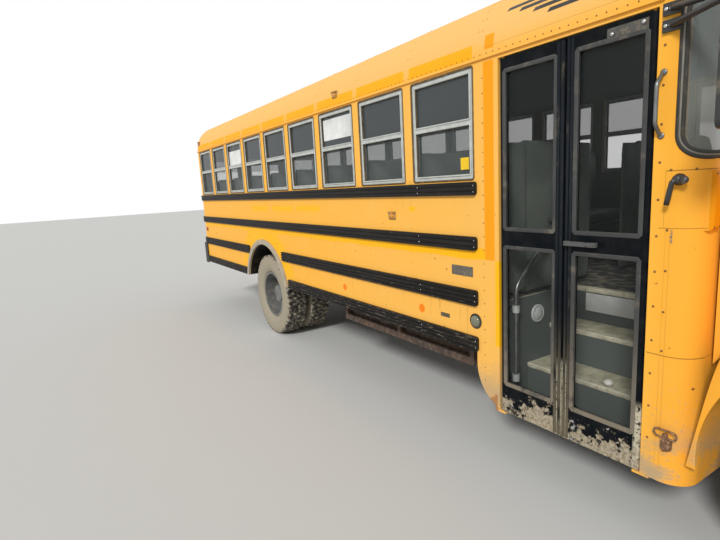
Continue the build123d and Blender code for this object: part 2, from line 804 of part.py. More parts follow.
def make_ends():
    rear = plan_ring(0, wall, rear_wall_z, header_z)
    rear &= block(body_rear_x, rear_split_x, -half_width, half_width, rear_wall_z, header_z)
    rear -= block(body_rear_x - 1, body_rear_x + wall + 1, -rear_door_width / 2,
                  rear_door_width / 2, floor_top_z, rear_door_top_z)
    for side in (-1, 1):
        rear -= block(body_rear_x - 1, body_rear_x + wall + 1, side * rear_window_inner_y,
                      side * (rear_window_inner_y + rear_window_width), rear_window_z,
                      rear_window_z + rear_window_height)
    for z in rear_hinge_z:
        rear += rear_hinge(z, False)
    write("rear_wall", rear)

    front_block = block(entrance_front_x, cowl_x, -half_width, half_width, low_skirt_z, belt_z)
    cowl = plan_ring(0, wall, low_skirt_z, belt_z) & front_block
    cowl -= block(entrance_front_x, cowl_x + 1, -fender_inner_y, fender_inner_y, low_skirt_z - 1,
                  floor_bottom_z)
    vent = block(cowl_x - 30, cowl_x + vent_reach, -half_width + vent_inset[0],
                 -half_width + vent_inset[1], *vent_z)
    vent = fillet(vent.faces().sort_by(Axis.X)[-1].edges(), vent_reach - 2)
    cowl = cowl + vent + mirror(vent, about=Plane.XZ)
    write("cowl", cowl + pivot_foot(entrance_front_x, leaf_pivots()[1]))

    surround = plan_ring(0, wall, belt_z, header_z)
    surround &= block(entrance_front_x, cowl_x, -half_width, half_width, belt_z, header_z)
    surround -= windscreen_space()
    surround += (block(cowl_x - wall, cowl_x, -windscreen_bar / 2, windscreen_bar / 2,
                       windscreen_z[0] - 1, header_z) & windscreen_space(1))
    write("windscreen_surround", surround)

    glass = plan_ring(windscreen_inset, windscreen_inset + glass_thickness + 1,
                      windscreen_z[0] - 10, windscreen_z[1] + 10)
    glass &= windscreen_space(-seat_gap)
    glass -= block(cowl_x - wall * 2, cowl_x + 1, -windscreen_bar / 2 - seat_gap,
                   windscreen_bar / 2 + seat_gap, windscreen_z[0] - 20, windscreen_z[1] + 20)
    write("windscreen", glass)


def make_windows():
    frames, panes = [], []
    bar = window_bar
    depth = (half_width - window_recess - window_frame_depth, half_width - window_recess)
    middle = (half_width - window_recess - window_frame_depth / 2)

    def side_window(x0, x1, upright=False):
        outer = rect_face(x0, x1, belt_z, header_z)
        if upright:
            half = (x0 + x1) / 2
            lights = [(x0 + bar, half - bar / 2, belt_z + bar, header_z - bar),
                      (half + bar / 2, x1 - bar, belt_z + bar, header_z - bar)]
        else:
            lights = [(x0 + bar, x1 - bar, belt_z + bar, sash_rail_z - bar / 2),
                      (x0 + bar, x1 - bar, sash_rail_z + bar / 2, header_z - bar)]
        for light in lights:
            outer -= rect_face(*light)
        frame = side_plate(outer, -depth[1], -depth[0])
        # The lower sash slides inside the upper one
        shift = (-glass_thickness - 1, 1)
        glass = [side_plate(rect_face(*light), -middle - s, -middle - s + glass_thickness)
                 for light, s in zip(lights, shift)]
        return frame, glass

    for x0, x1 in window_openings():
        frame, glass = side_window(x0, x1)
        frames.append(both_sides(frame))
        panes += [both_sides(pane) for pane in glass]
    frame, glass = side_window(entrance_rear_x, entrance_rear_x + driver_window_width, True)
    frames.append(mirror(frame, about=Plane.XZ))
    panes += [mirror(pane, about=Plane.XZ) for pane in glass]

    y0, y1 = rear_window_inner_y, rear_window_inner_y + rear_window_width
    z0, z1 = rear_window_z, rear_window_z + rear_window_height
    light = rect_face(y0 + bar, y1 - bar, z0 + bar, z1 - bar)
    frame = cross_plate(rect_face(y0, y1, z0, z1) - light, body_rear_x + window_recess,
                        body_rear_x + window_recess + window_frame_depth)
    pane_x = body_rear_x + window_recess + window_frame_depth / 2
    frames.append(both_sides(frame))
    panes.append(both_sides(cross_plate(light, pane_x, pane_x + glass_thickness)))
    write("window_frames", group(*frames))
    write("window_glass", group(*panes))


def rub_rail(x0, x1, z0, z1, ridges):
    """A ribbed rail on the right side that follows the body round its rear corner."""
    outline = side_plate(rect_face(x0, x1, z0, z1, rail_end_radius), -half_width - rail_ridge - 1, 0)
    rail = plan_ring(-rail_base, 0, z0, z1)
    pitch = (z1 - z0 + rail_groove) / ridges
    for i in range(ridges):
        low = z0 + i * pitch
        rail += plan_ring(-rail_ridge, -rail_base + 1, low, low + pitch - rail_groove)
    return rail & outline


def make_rails():
    rear = body_rear_x + rail_rear_margin
    rails = []
    for level, (z0, z1, ridges) in enumerate(rail_levels):
        gaps = {2: floor_rail_gap, 3: skirt_rail_gap}.get(level)
        spans = [(rear, rail_front_x)]
        if gaps:
            spans = [(rear, rear_axle_x + gaps[0]), (rear_axle_x + gaps[1], rail_front_x)]
        if level == 3:
            spans[0] = (bumper_wrap_x + 6, spans[0][1])
        if level == 2:
            spans[0] = (rear, spans[0][1])
        rails += [rub_rail(x0, x1, z0, z1, ridges) for x0, x1 in spans]
    write("rub_rails", both_sides(*rails))

    ring = Circle(arch_radius + flare_width) - Circle(arch_radius)
    ring = Pos(rear_axle_x, arch_center_z) * ring
    reach = arch_radius + flare_width + 1
    ring &= rect_face(rear_axle_x - reach, rear_axle_x + reach, skirt_z, arch_center_z + reach)
    flare = side_plate(ring, -half_width - flare_depth, -half_width)
    write("arch_flares", both_sides(flare))


def make_bumpers():
    side = half_width + bumper_stand_off

    def plan(inset):
        return rect_face(rear_x + inset, -rear_x, -side + inset, side - inset,
                         bumper_round - inset)

    ring = flat_plate(plan(0) - plan(rail_base), rear_bumper_z[0], rear_bumper_z[1])
    ring &= block(rear_x, bumper_wrap_x, -side, side, rear_bumper_z[0], rear_bumper_z[1])
    write("rear_bumper", ring)

    bumper_rear_x = front_x - bumper_depth
    outer = rect_face(bumper_rear_x, front_x, -bumper_half_width, bumper_half_width)
    outer = fillet(outer.vertices().sort_by(Axis.X)[-2:], bumper_depth - 1)
    solid = flat_plate(outer, front_bumper_z[0], front_bumper_z[1])
    hollow = block(bumper_rear_x + rail_base, front_x - rail_base, -bumper_half_width + bumper_depth,
                   bumper_half_width - bumper_depth, front_bumper_z[0] + rail_base,
                   rail_z - 5)
    hollow += block(bumper_rear_x - 1, front_x - rail_base, -bumper_half_width + bumper_depth,
                    bumper_half_width - bumper_depth, front_bumper_z[0] + rail_base * 2,
                    rail_z - rail_base)
    plate_holes = [rod((bumper_rear_x, y, plate_hole_z), (front_x + 1, y, plate_hole_z),
                       plate_hole_radius) for y in (-plate_hole_spacing / 2, plate_hole_spacing / 2)]
    solid -= hollow
    for hole in plate_holes:
        solid -= hole
    write("front_bumper", solid)


def make_seats():
    pads, frames = [], []
    seat_y = (-inner_y + 10, -aisle_half)
    cushion_z = floor_top_z + seat_pan_height
    for window_rear_x, _ in window_openings():
        x = window_rear_x - window_post
        back = block(x, x + seat_back_depth, *seat_y, cushion_z, floor_top_z + seat_total_height)
        cushion = block(x + seat_back_depth + 5, x + seat_back_depth + seat_depth, *seat_y,
                        cushion_z, cushion_z + seat_cushion_height)
        pads += [both_sides(fillet(back.edges().filter_by(Axis.Y), 30)),
                 both_sides(fillet(cushion.edges().filter_by(Axis.Y), 30))]
        pan = block(x, x + seat_back_depth + seat_depth, *seat_y, cushion_z - seat_pan, cushion_z)
        for leg_x in (x + 20, x + seat_back_depth + seat_depth - 60):
            pan += block(leg_x, leg_x + 40, seat_y[1] - 70, seat_y[1] - 30, floor_top_z,
                         cushion_z - seat_pan)
        frames.append(both_sides(pan))
    for side in (-1, 1):
        barrier = block(barrier_x, barrier_x + barrier_depth, side * (inner_y - 10),
                        side * aisle_half, floor_top_z, barrier_top_z)
        pads.append(fillet(barrier.edges().filter_by(Axis.X), 40))

    # Driver's seat on its pedestal
    x, y = driver_seat_x, driver_y
    half = driver_seat_half
    top = floor_top_z + driver_seat_height
    pads.append(fillet(block(x + 105, x + 560, y - half, y + half, top, top + 110)
                       .edges().filter_by(Axis.Y), 40))
    pads.append(fillet(block(x, x + 100, y - half, y + half, top, top + 700)
                       .edges().filter_by(Axis.Y), 40))
    pedestal = block(x, x + 560, y - half, y + half, top - 30, top)
    pedestal += block(x + 150, x + 420, y - 130, y + 130, floor_top_z, top - 29)
    frames.append(pedestal)
    write("seat_pads", group(*pads))
    write("seat_frames", group(*frames))


def make_cab():
    dash = flat_plate(plan_face(wall + seat_gap), dash_z[0], dash_z[1])
    dash &= block(cowl_x - wall - dash_depth, cowl_x, -half_width, half_width, dash_z[0], dash_z[1])
    center = Vector(steering_x, driver_y, steering_z)
    axis = Vector(-math.sin(math.radians(steering_tilt)), 0, math.cos(math.radians(steering_tilt)))
    column_top = center - axis * steering_hub_height
    column_low = center - axis * steering_column_length
    dash += rod(tuple(column_low), tuple(column_top), steering_column_radius)
    write("dashboard", dash)

    wheel_plane = Plane(origin=center, z_dir=axis)
    wheel = wheel_plane * Torus(steering_wheel_radius, steering_rim)
    for turn in (90, 210, 330):
        spoke = Rot(0, 0, turn) * Pos(steering_wheel_radius / 2, 0, 0)
        wheel += wheel_plane * (spoke * Box(steering_wheel_radius, 40, 14))
    hub = Pos(0, 0, (10 - steering_hub_height + 1) / 2)
    wheel += wheel_plane * (hub * Cylinder(60, steering_hub_height + 10 - 1))
    write("steering_wheel", wheel)

    rail_x = entrance_rear_x + grab_offset
    rail_y = -inner_y + grab_inset
    end_y = -inner_y + grab_reach
    rail = bent_tube([(rail_x, rail_y, grab_z[0]), (rail_x, rail_y, grab_z[1]),
                      (rail_x, end_y, grab_z[2])], grab_radius, 120)
    for low, high in grab_brackets:
        rail += block(entrance_rear_x, rail_x, rail_y - bracket_size / 2,
                      rail_y + bracket_size / 2, low, high)
    stay = block(barrier_x + barrier_depth, rail_x, end_y - bracket_size * 1.25,
                 end_y - bracket_size / 4, grab_z[2] - bracket_size * 5 / 3,
                 grab_z[2] - bracket_size * 2 / 3)
    pull_x = entrance_front_x + bracket_size
    pull_y = -half_width - pull_stand_off
    foot_y = -half_width + pull_radius
    pull = bent_tube([(pull_x, foot_y, pull_z[1]), (pull_x, pull_y, pull_z[1] - pull_slant),
                      (pull_x, pull_y, pull_z[0] + pull_slant), (pull_x, foot_y, pull_z[0])],
                     pull_radius, 30)
    pull -= block(pull_x - bracket_size, pull_x + bracket_size, -half_width, 0,
                  pull_z[0] - bracket_size, pull_z[1] + bracket_size)
    write("grab_rails", group(rail + stay, pull))


def make_fittings():
    # Emergency release on the right front post
    x, y, z = cowl_x - release_set_back, -half_width, release_z
    release = rod((x, y, z), (x, y - release_reach + 15, z), release_radius)
    release += block(x - 12, x + 40, y - release_reach, y - 30, z - 12, z + 12)
    release += block(x - 24, x - 4, y - release_reach + 2, y - 30, z - 100, z + 8)
    write("door_release", release)
    # Rubber latches that hold the nose, one each side
    latch = block(latch_x - latch_stem, latch_x + latch_stem, y - latch_reach + 4, y,
                  latch_z[0], latch_z[1])
    latch += block(latch_x - latch_bar, latch_x + latch_bar, y - latch_reach, y,
                   latch_z[1] - 5, latch_z[2])
    write("hood_latches", both_sides(latch))

    housings, red, amber = [], [], []
    # end of the bus, inset, colour
    warning = [(end, inset, colour) for end in (-1, 1)
               for inset, colour in zip(warning_inset, ("amber", "red"))]
    for end, inset, colour in warning:
        x = cowl_x if end > 0 else body_rear_x
        y = half_width - inset
        box = rod((x, y, warning_z), (x + end * 40, y, warning_z), warning_radius)
        lens = rod((x + end * 40, y, warning_z), (x + end * 58, y, warning_z), warning_radius - 22)
        housings.append(both_sides(box))
        (red if colour == "red" else amber).append(both_sides(lens))
    for inset, z, colour in rear_lamps:
        x, y = body_rear_x, half_width - inset
        housings.append(both_sides(rod((x, y, z), (x - 15, y, z), rear_lamp_radius)))
        lens = both_sides(rod((x - 15, y, z), (x - 38, y, z), rear_lamp_radius - 13))
        (red if colour == "red" else amber).append(lens)
    for origin, offset, z, colour, radius in side_lamps:
        x = offset + (body_rear_x if origin == "rear" else last_window_front_x)
        depth = lamp_sink if z > header_z else 0
        lens = rod((x, -half_width + depth, z), (x, -half_width - 22, z), radius)
        if depth:
            lens -= cross_plate(roof_face(-seat_gap, header_z), x - radius * 2, x + radius * 2)
        lens = both_sides(lens)
        (red if colour == "red" else amber).append(lens)
    # Small lamps above the front and rear headers
    for end, y in [(e, y) for e in (-1, 1) for y in (-150, 0, 150)]:
        x = cowl_x if end > 0 else body_rear_x
        lens = rod((x, y, warning_z + 60), (x + end * 22, y, warning_z + 60), 24)
        (amber if end > 0 else red).append(lens)
    write("lamp_housings", group(*housings))
    write("lenses_red", group(*red))
    write("lenses_amber", group(*amber))

    # Mirrors on two bars from each front post
    foot_x = cowl_x - 150
    foot_y = -half_width - 15
    top_z = mirror_z[1] + mirror_stem
    arms = rod((mirror_x, -mirror_y, mirror_z[0] + 40), (mirror_x, -mirror_y, top_z), 14)
    for z in mirror_arm_z:
        arms += rod((foot_x, foot_y, z), (mirror_x, -mirror_y, top_z), 13)
        arms += block(foot_x - 40, foot_x + 40, -half_width - 14, -half_width, z - 25, z + 25)
    head_x = mirror_x - 14 - seat_gap
    head = block(head_x - mirror_depth, head_x, -mirror_y - mirror_half,
                 -mirror_y + mirror_half, *mirror_z)
    head = fillet(head.edges().filter_by(Axis.X), 30)
    write("mirrors", both_sides(arms, head))

    # Stop arm on the left: a box with a pin, and the sign that folds against the side
    y0 = half_width
    pin_y = y0 + stop_stand_off
    box = block(stop_x - 20, stop_x + 90, y0, pin_y - 18, stop_z - 90, stop_z + 90)
    for z in (stop_z - 90, stop_z + 70):
        box += block(stop_x - 18, stop_x + 18, pin_y - 19, pin_y + 18, z, z + 20)
    box += rod((stop_x, pin_y, stop_z - 90), (stop_x, pin_y, stop_z + 90), 8)
    write("stop_arm_box", box)
    sleeve = rod((stop_x, pin_y, stop_z - 69), (stop_x, pin_y, stop_z + 69), 16)
    sleeve += block(stop_x - 180, stop_x - 8, pin_y - 6, pin_y + 6, stop_z - 50, stop_z + 50)
    sleeve -= rod((stop_x, pin_y, stop_z - 71), (stop_x, pin_y, stop_z + 71), 8 + bearing_gap)
    sign = Pos(stop_x - 120 - stop_half, stop_z) * Rot(0, 0, 22.5) * RegularPolygon(
        stop_half, 8, major_radius=False)
    sleeve += side_plate(sign, pin_y - 6, pin_y + 6)
    write("stop_arm", sleeve)


def leaf_pivots():
    """X of the rear and the front leaf's upright pivot, and their common Y."""
    inset = leaf_side_gap + leaf_thickness / 2
    return (entrance_rear_x + inset, entrance_front_x - inset,
            -half_width + leaf_recess + leaf_thickness / 2)


def entrance_leaf(edge_x, free_x, pivot_x, handle):
    """One leaf of the entrance, from its round hinge edge to its closing edge."""
    x0, x1 = sorted((edge_x, free_x))
    y0 = -half_width + leaf_recess
    top = header_z - leaf_top_gap
    pivot_y = leaf_pivots()[2]
    face = rect_face(x0, x1, low_skirt_z + leaf_side_gap, top)
    direction = 1 if free_x > edge_x else -1
    g0 = edge_x + direction * leaf_glass_edge
    g0, g1 = sorted((g0, g0 + direction * leaf_glass_width))
    lights = [rect_face(g0, g1, leaf_glass_z[0], leaf_glass_z[1], 30),
              rect_face(g0, g1, leaf_glass_z[2], leaf_glass_z[3], 30)]
    for light in lights:
        face -= light
    frame = side_plate(face, y0, y0 + leaf_thickness)
    hinge_edges = frame.edges().filter_by(Axis.Z).group_by(SortBy.LENGTH)[-1]
    near = sorted(hinge_edges, key=lambda edge: abs(edge.center().X - edge_x))[:2]
    frame = fillet(near, leaf_thickness / 2 - 0.1)
    for z in (low_skirt_z, top):
        frame -= rod((pivot_x, pivot_y, z - pivot_length), (pivot_x, pivot_y, z + pivot_length),
                     pivot_radius + bearing_gap)
    if handle:
        grip_z = (leaf_glass_z[1] + leaf_glass_z[2]) / 2
        grip = block(free_x + direction * -195, free_x + direction * -15, y0 - 32, y0 - 20,
                     grip_z - 12, grip_z + 12)
        for x in (free_x - direction * 185, free_x - direction * 25):
            grip += block(x - 8, x + 8, y0 - 32, y0 + 1, grip_z - 12, grip_z + 12)
        frame += grip
    middle = y0 + leaf_thickness / 2
    panes = []
    for z0, z1 in (leaf_glass_z[:2], leaf_glass_z[2:]):
        pane = rect_face(g0 + seat_gap, g1 - seat_gap, z0 + seat_gap, z1 - seat_gap, 30)
        panes.append(side_plate(pane, middle - glass_thickness / 2, middle + glass_thickness / 2))
    return frame, group(*panes)


def make_doors():
    rear_edge = entrance_rear_x + leaf_side_gap
    front_edge = entrance_front_x - leaf_side_gap
    leaf_width = (front_edge - rear_edge - leaf_middle_gap) / 2
    rear_pivot, front_pivot, _ = leaf_pivots()
    frame, glass = entrance_leaf(front_edge, front_edge - leaf_width, front_pivot, True)
    write("door_front_frame", frame)
    write("door_front_glass", glass)
    frame, glass = entrance_leaf(rear_edge, rear_edge + leaf_width, rear_pivot, False)
    write("door_rear_frame", frame)
    write("door_rear_glass", glass)

    half = rear_door_width / 2 - rear_door_gap
    face = rect_face(-half, half, floor_top_z + rear_door_gap, rear_door_top_z - rear_door_gap)
    z = rear_door_window_z
    lights = [rect_face(-rear_door_window_width / 2, rear_door_window_width / 2, z[0], z[1]),
              rect_face(-rear_door_window_width / 2, rear_door_window_width / 2, z[2], z[3])]
    for light in lights:
        face -= light
    panel = cross_plate(face, body_rear_x, body_rear_x + wall)
    lever = block(body_rear_x - 55, body_rear_x - 35, half - 220, half - 60, 1740, 1770)
    lever += block(body_rear_x - 36, body_rear_x + 1, half - 90, half - 60, 1740, 1770)
    panel += lever
    for z in rear_hinge_z:
        panel += rear_hinge(z, True)
    write("rear_door_panel", panel)
    pane_x = body_rear_x + wall / 2
    panes = [cross_plate(light, pane_x, pane_x + glass_thickness) for light in lights]
    write("rear_door_glass", group(*panes))


def arch_face(half, z0, z1, radius):
    """A section of the nose: flat bottom, upright sides, rounded shoulders."""
    face = rect_face(-half, half, z0, z1)
    return fillet(face.vertices().sort_by(Axis.Y)[-2:], radius)


def nose_volume(inset):
    """The nose as a closed form. With an inset it is the space inside its sheet."""
    open_by = 60 if inset else 0
    rear_start = cowl_x + hood_gap - open_by
    _, z0, z1, radius = hood_rear
    slope = (hood_rear[2] - hood_front[2]) / (hood_front_x - cowl_x - hood_gap)
    taper = (hood_front[0] - hood_rear[0]) / (hood_front_x - cowl_x - hood_gap)
    half = hood_rear_half - inset + taper * open_by
    start = arch_face(half, z0 - open_by, z1 - inset + slope * open_by, radius - inset)
    _, z0, z1, radius = hood_front
    half = hood_front_half
    end = arch_face(half - inset, z0 - open_by, z1 - inset, radius - inset)
    bonnet = loft([Plane.YZ.offset(rear_start) * start, Plane.YZ.offset(hood_front_x) * end],
                  ruled=True)
    face = arch_face(half - inset, nose_bottom_z - open_by, z1 - inset, radius - inset)
    nose = cross_plate(face, hood_front_x - 120 - open_by, nose_front_x - inset)
    rim = nose.faces().sort_by(Axis.X)[-1].edges()
    nose = fillet([e for e in rim if e.center().Z > nose_bottom_z + 1], 70 - inset)
    volume = bonnet + nose

    outline = Pos(front_axle_x, arch_center_z) * Circle(fender_radius - inset)
    low_x, high_x = [cowl_x + ahead - open_by for ahead in fender_rear]
    high_z = hood_rear[1] + hood_rear[1] - fender_bottom_z
    high_x += (high_x - low_x) * (high_z - hood_rear[1]) / (hood_rear[1] - fender_bottom_z)
    outline &= make_face(Polyline((low_x, fender_bottom_z), (fender_front_x - inset, fender_bottom_z),
                                  (fender_front_x - inset, high_z), (high_x, high_z), close=True))
    if open_by:
        outline += rect_face(low_x, fender_front_x - inset, fender_bottom_z - open_by,
                             fender_bottom_z + 1)
    front = rect_face(front_axle_x + fender_radius / 2, fender_front_x - inset,
                      fender_front_bottom_z - open_by, fender_front_top_z - inset, 0)
    outline += front
    outer_y = fender_side_y - inset
    fender = side_plate(outline, -outer_y, -fender_inner_y + open_by)
    skin = fender.faces().sort_by(Axis.Y)[0].edges()
    over = [e for e in skin if e.center().Z > arch_center_z and e.center().X > high_x + 100]
    fender = fillet(over, fender_round - inset)
    return volume + fender + mirror(fender, about=Plane.XZ)


def make_nose():
    shell = nose_volume(0) - nose_volume(hood_sheet)
    for side in (-1, 1):
        shell -= rod((front_axle_x, side * (fender_inner_y + 200), arch_center_z),
                     (front_axle_x, side * (half_width + 1), arch_center_z), front_arch_radius)
    y, z0, z1 = grille_half_width, grille_z[0], grille_z[1]
    shell -= block(nose_front_x - 100, nose_front_x + 1, -y, y, z0, z1)
    lamp = (headlamp_y - headlamp_width / 2, headlamp_y + headlamp_width / 2,
            headlamp_z - headlamp_height / 2, headlamp_z + headlamp_height / 2)
    for side in (-1, 1):
        shell -= block(fender_front_x - 60, nose_front_x + 1, side * lamp[0], side * lamp[1],
                       lamp[2], lamp[3])
    for side in (-1, 1):
        y0, y1 = side * (hinge_lug_y - hinge_lug / 2), side * (hinge_lug_y + hinge_lug / 2)
        lug = block(hinge_x - 25, nose_front_x - hood_sheet / 2, y0, y1, hinge_z - 20, hinge_z + 60)
        shell += lug - rod((hinge_x, y0 - side, hinge_z), (hinge_x, y1 + side, hinge_z),
                           hinge_pin_radius + bearing_gap)
    write("hood_shell", shell)

    grille = block(nose_front_x - hood_sheet, nose_front_x - 2, -y, y, z0, z1)
    slot = (z1 - z0 - grille_bar) / grille_slots
    for i in range(grille_slots):
        low = z0 + grille_bar + i * slot
        for side in (-1, 1):
            grille -= block(nose_front_x - 50, nose_front_x, side * grille_bar / 2,
                            side * (y - grille_bar), low, low + slot - grille_bar)
    write("grille", grille)
    head = block(fender_front_x - 50, fender_front_x - 2, lamp[0], lamp[1], lamp[2], lamp[3])
    write("headlamps", both_sides(head))


def wheel_profile(points):
    """A ring turned about the wheel's own axis, from (axial, radius) points."""
    return revolve(Plane.YZ * make_face(Polyline(*points, close=True)), Axis.Y)


def rim_and_tyre(dish, direction):
    """A rim and its tyre. The disc cones out to its bolting face, dish away from the middle."""
    half = tyre_width / 2
    lip = tyre_bead_radius - 1
    rim_half = half - 32
    well = rim_radius - rim_wall
    rim = wheel_profile([(-rim_half, rim_radius - rim_wall), (rim_half, rim_radius - rim_wall),
                         (rim_half, lip), (rim_half - 12, lip), (rim_half - 12, rim_radius),
                         (-rim_half + 12, rim_radius), (-rim_half + 12, lip), (-rim_half, lip)])
    back, face = rim_half - 30, dish - rim_wall
    cone = [(back, well + 1), (back + rim_wall, well + 1), (dish, disc_face_radius), (dish, 1),
            (face, 1), (face, disc_face_radius - 8)]
    disc = wheel_profile([(direction * y, radius) for y, radius in cone])
    for i in range(hand_holes):
        disc -= (Rot(0, i * 360 / hand_holes, 0) * Pos(hand_hole_pcd / 2, direction * dish / 2, 0)
                 * Rot(90, 0, 0) * Cylinder(hand_hole_radius, dish * 2))
    rim += disc
    tyre = wheel_profile([(-half + 28, tyre_bead_radius), (half - 28, tyre_bead_radius),
                          (half - 6, tyre_bead_radius + 60), (half, tyre_bead_radius + 110),
                          (half - 8, tyre_radius - 60), (half - 22, tyre_radius - 14),
                          (half - 40, tyre_radius), (-half + 40, tyre_radius),
                          (-half + 22, tyre_radius - 14), (-half + 8, tyre_radius - 60),
                          (-half, tyre_bead_radius + 110), (-half + 6, tyre_bead_radius + 60)])
    return rim, tyre


def make_wheels():
    bore = spindle_radius + bearing_gap

    rim, tyre = rim_and_tyre(front_dish, -1)
    rim += rod((0, -front_dish - front_hub_nose, 0), (0, front_hub_depth, 0), hub_radius)
    rim -= rod((0, -front_dish + 20, 0), (0, front_hub_depth + 1, 0), bore)
    place = Pos(front_axle_x, -front_y, tyre_radius)
    for name, mirrored in (("right", False), ("left", True)):
        for kind, solid in (("rim", place * rim), ("tyre", place * tyre)):
            solid = mirror(solid, about=Plane.XZ) if mirrored else solid
            write(f"front_{kind}_{name}", solid)

    outer_rim, outer_tyre = rim_and_tyre(dual_spacing / 2, 1)
    inner_rim, inner_tyre = rim_and_tyre(dual_spacing / 2, -1)
    shift = Pos(0, dual_spacing, 0)
    rim = outer_rim + shift * inner_rim
    rim += rod((0, rear_hub_y[0], 0), (0, rear_hub_y[1], 0), hub_radius)
    rim -= rod((0, rear_hub_y[0] + 60, 0), (0, rear_hub_y[1] + 1, 0), bore)
    tyres = group(outer_tyre, shift * inner_tyre)
    place = Pos(rear_axle_x, -rear_y, tyre_radius)
    for name, mirrored in (("right", False), ("left", True)):
        for kind, solid in (("rims", place * rim), ("tyres", place * tyres)):
            solid = mirror(solid, about=Plane.XZ) if mirrored else solid
            write(f"rear_{kind}_{name}", solid)


def make_steering():
    """Knuckles on the kingpins, and the tie rod between their arms."""
    ear = kingpin_boss / 2 + ear_gap
    spindle_end = front_y + front_dish - 25
    yoke_y = kingpin_y + beam_depth / 2 + 8
    knuckle = block(front_axle_x - 45, front_axle_x + 45, -yoke_y - 40, -yoke_y,
                    tyre_radius - ear - ear_height, tyre_radius + ear + ear_height)
    for z in (tyre_radius + ear, tyre_radius - ear - ear_height):
        knuckle += block(front_axle_x - 45, front_axle_x + 45, -yoke_y - 1, -kingpin_y + 45,
                         z, z + ear_height)
    knuckle += rod((front_axle_x, -yoke_y - 39, tyre_radius), (front_axle_x, -spindle_end, tyre_radius),
                   spindle_radius)
    arm_z = tyre_radius - ear - ear_height
    knuckle += block(front_axle_x - steer_arm, front_axle_x - 44, -kingpin_y - 30, -kingpin_y + 30,
                     arm_z, arm_z + 30)
    knuckle += Pos(front_axle_x - steer_arm, -kingpin_y, arm_z + 15) * Cylinder(30, 30)
    bore = kingpin_radius + bearing_gap
    knuckle -= rod((front_axle_x, -kingpin_y, tyre_radius - ear - ear_height - 1),
                   (front_axle_x, -kingpin_y, tyre_radius + ear + ear_height + 1), bore)
    hole = rod((front_axle_x - steer_arm, -kingpin_y, arm_z - 1),
               (front_axle_x - steer_arm, -kingpin_y, arm_z + 31), tie_pin_radius + bearing_gap)
    knuckle -= hole
    write("knuckle_right", knuckle)
    write("knuckle_left", mirror(knuckle, about=Plane.XZ))

    x, z = front_axle_x - steer_arm, arm_z - 30
    tie = rod((x, -kingpin_y + 20, z), (x, kingpin_y - 20, z), 18)
    for side in (-1, 1):
        tie += Pos(x, side * kingpin_y, z) * Cylinder(26, 40)
        tie += rod((x, side * kingpin_y, z), (x, side * kingpin_y, arm_z + 28), tie_pin_radius)
    write("tie_rod", tie)


os.makedirs("parts", exist_ok=True)
make_chassis()
make_axles()
make_floor()
make_side_panels()
make_roof()
make_ends()
make_windows()
make_rails()
make_bumpers()
make_seats()
make_cab()
make_fittings()
make_doors()
make_nose()
make_wheels()
make_steering()
print("wrote", part_count, "sub-parts")
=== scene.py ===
import math

import bpy
import numpy as np
from mathutils import Matrix, Vector


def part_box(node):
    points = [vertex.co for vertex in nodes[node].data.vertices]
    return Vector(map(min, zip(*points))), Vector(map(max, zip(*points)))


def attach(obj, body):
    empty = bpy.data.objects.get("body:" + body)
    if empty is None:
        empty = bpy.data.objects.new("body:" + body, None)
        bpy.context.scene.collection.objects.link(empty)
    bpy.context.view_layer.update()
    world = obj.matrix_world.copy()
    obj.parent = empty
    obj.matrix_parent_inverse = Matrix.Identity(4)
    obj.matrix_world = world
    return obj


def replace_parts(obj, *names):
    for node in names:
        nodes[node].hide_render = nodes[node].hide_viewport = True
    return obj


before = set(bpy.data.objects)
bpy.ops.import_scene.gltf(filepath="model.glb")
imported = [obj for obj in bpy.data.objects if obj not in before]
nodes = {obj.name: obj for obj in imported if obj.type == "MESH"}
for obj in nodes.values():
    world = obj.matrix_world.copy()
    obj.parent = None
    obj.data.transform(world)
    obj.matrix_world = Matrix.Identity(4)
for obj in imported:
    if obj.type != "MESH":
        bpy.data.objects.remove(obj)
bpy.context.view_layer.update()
print("frame loaded with", len(nodes), "nodes")

# Places that the looks share, read from the frame, in metres
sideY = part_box("side_panel_left")[1].y
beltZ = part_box("window_posts")[0].z
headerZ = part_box("window_posts")[1].z
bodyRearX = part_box("roof_caps")[0].x
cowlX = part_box("windscreen_surround")[1].x
stepSheet = 0.015
entranceFace = -sideY + 0.002
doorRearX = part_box("stepwell")[0].x + stepSheet
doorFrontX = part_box("stepwell")[1].x - stepSheet
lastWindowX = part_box("rub_rails")[1].x - 0.027
windowPitch = 0.711
windowWidth = 0.605
windowCount = 9
windowRears = [lastWindowX - windowWidth - i * windowPitch for i in range(windowCount)]
rearAxleX = (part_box("rear_tyres_right")[0].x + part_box("rear_tyres_right")[1].x) / 2
frontAxleX = (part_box("front_tyre_right")[0].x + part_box("front_tyre_right")[1].x) / 2
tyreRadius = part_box("rear_tyres_right")[1].z / 2
sash = {"frameBar": 0.028, "gasket": 0.009, "frameDepth": 0.006, "railZ": 2.237}

# Shading helpers


class Shade:
    # A value worked out at each point of a surface: +, -, *, / and abs each add one Math node
    def __init__(self, socket):
        self.socket = socket
        self.tree = socket.id_data

    def __add__(self, other):
        return calc("ADD", self, other)

    def __sub__(self, other):
        return calc("SUBTRACT", self, other)

    def __rsub__(self, other):
        return calc("SUBTRACT", other, self)

    def __mul__(self, other):
        return calc("MULTIPLY", self, other)

    def __truediv__(self, other):
        return calc("DIVIDE", self, other)

    def __abs__(self):
        return calc("ABSOLUTE", self)


def plug(node, inputs):
    # Links each shade to its socket, and writes each plain value onto its socket
    for socket, value in inputs.items():
        if isinstance(value, Shade):
            value.tree.links.new(value.socket, node.inputs[socket])
        else:
            node.inputs[socket].default_value = value


def addNode(tree, kind, inputs=None, **settings):
    node = tree.nodes.new("ShaderNode" + kind)
    for name, value in settings.items():
        setattr(node, name, value)
    plug(node, inputs or {})
    return node


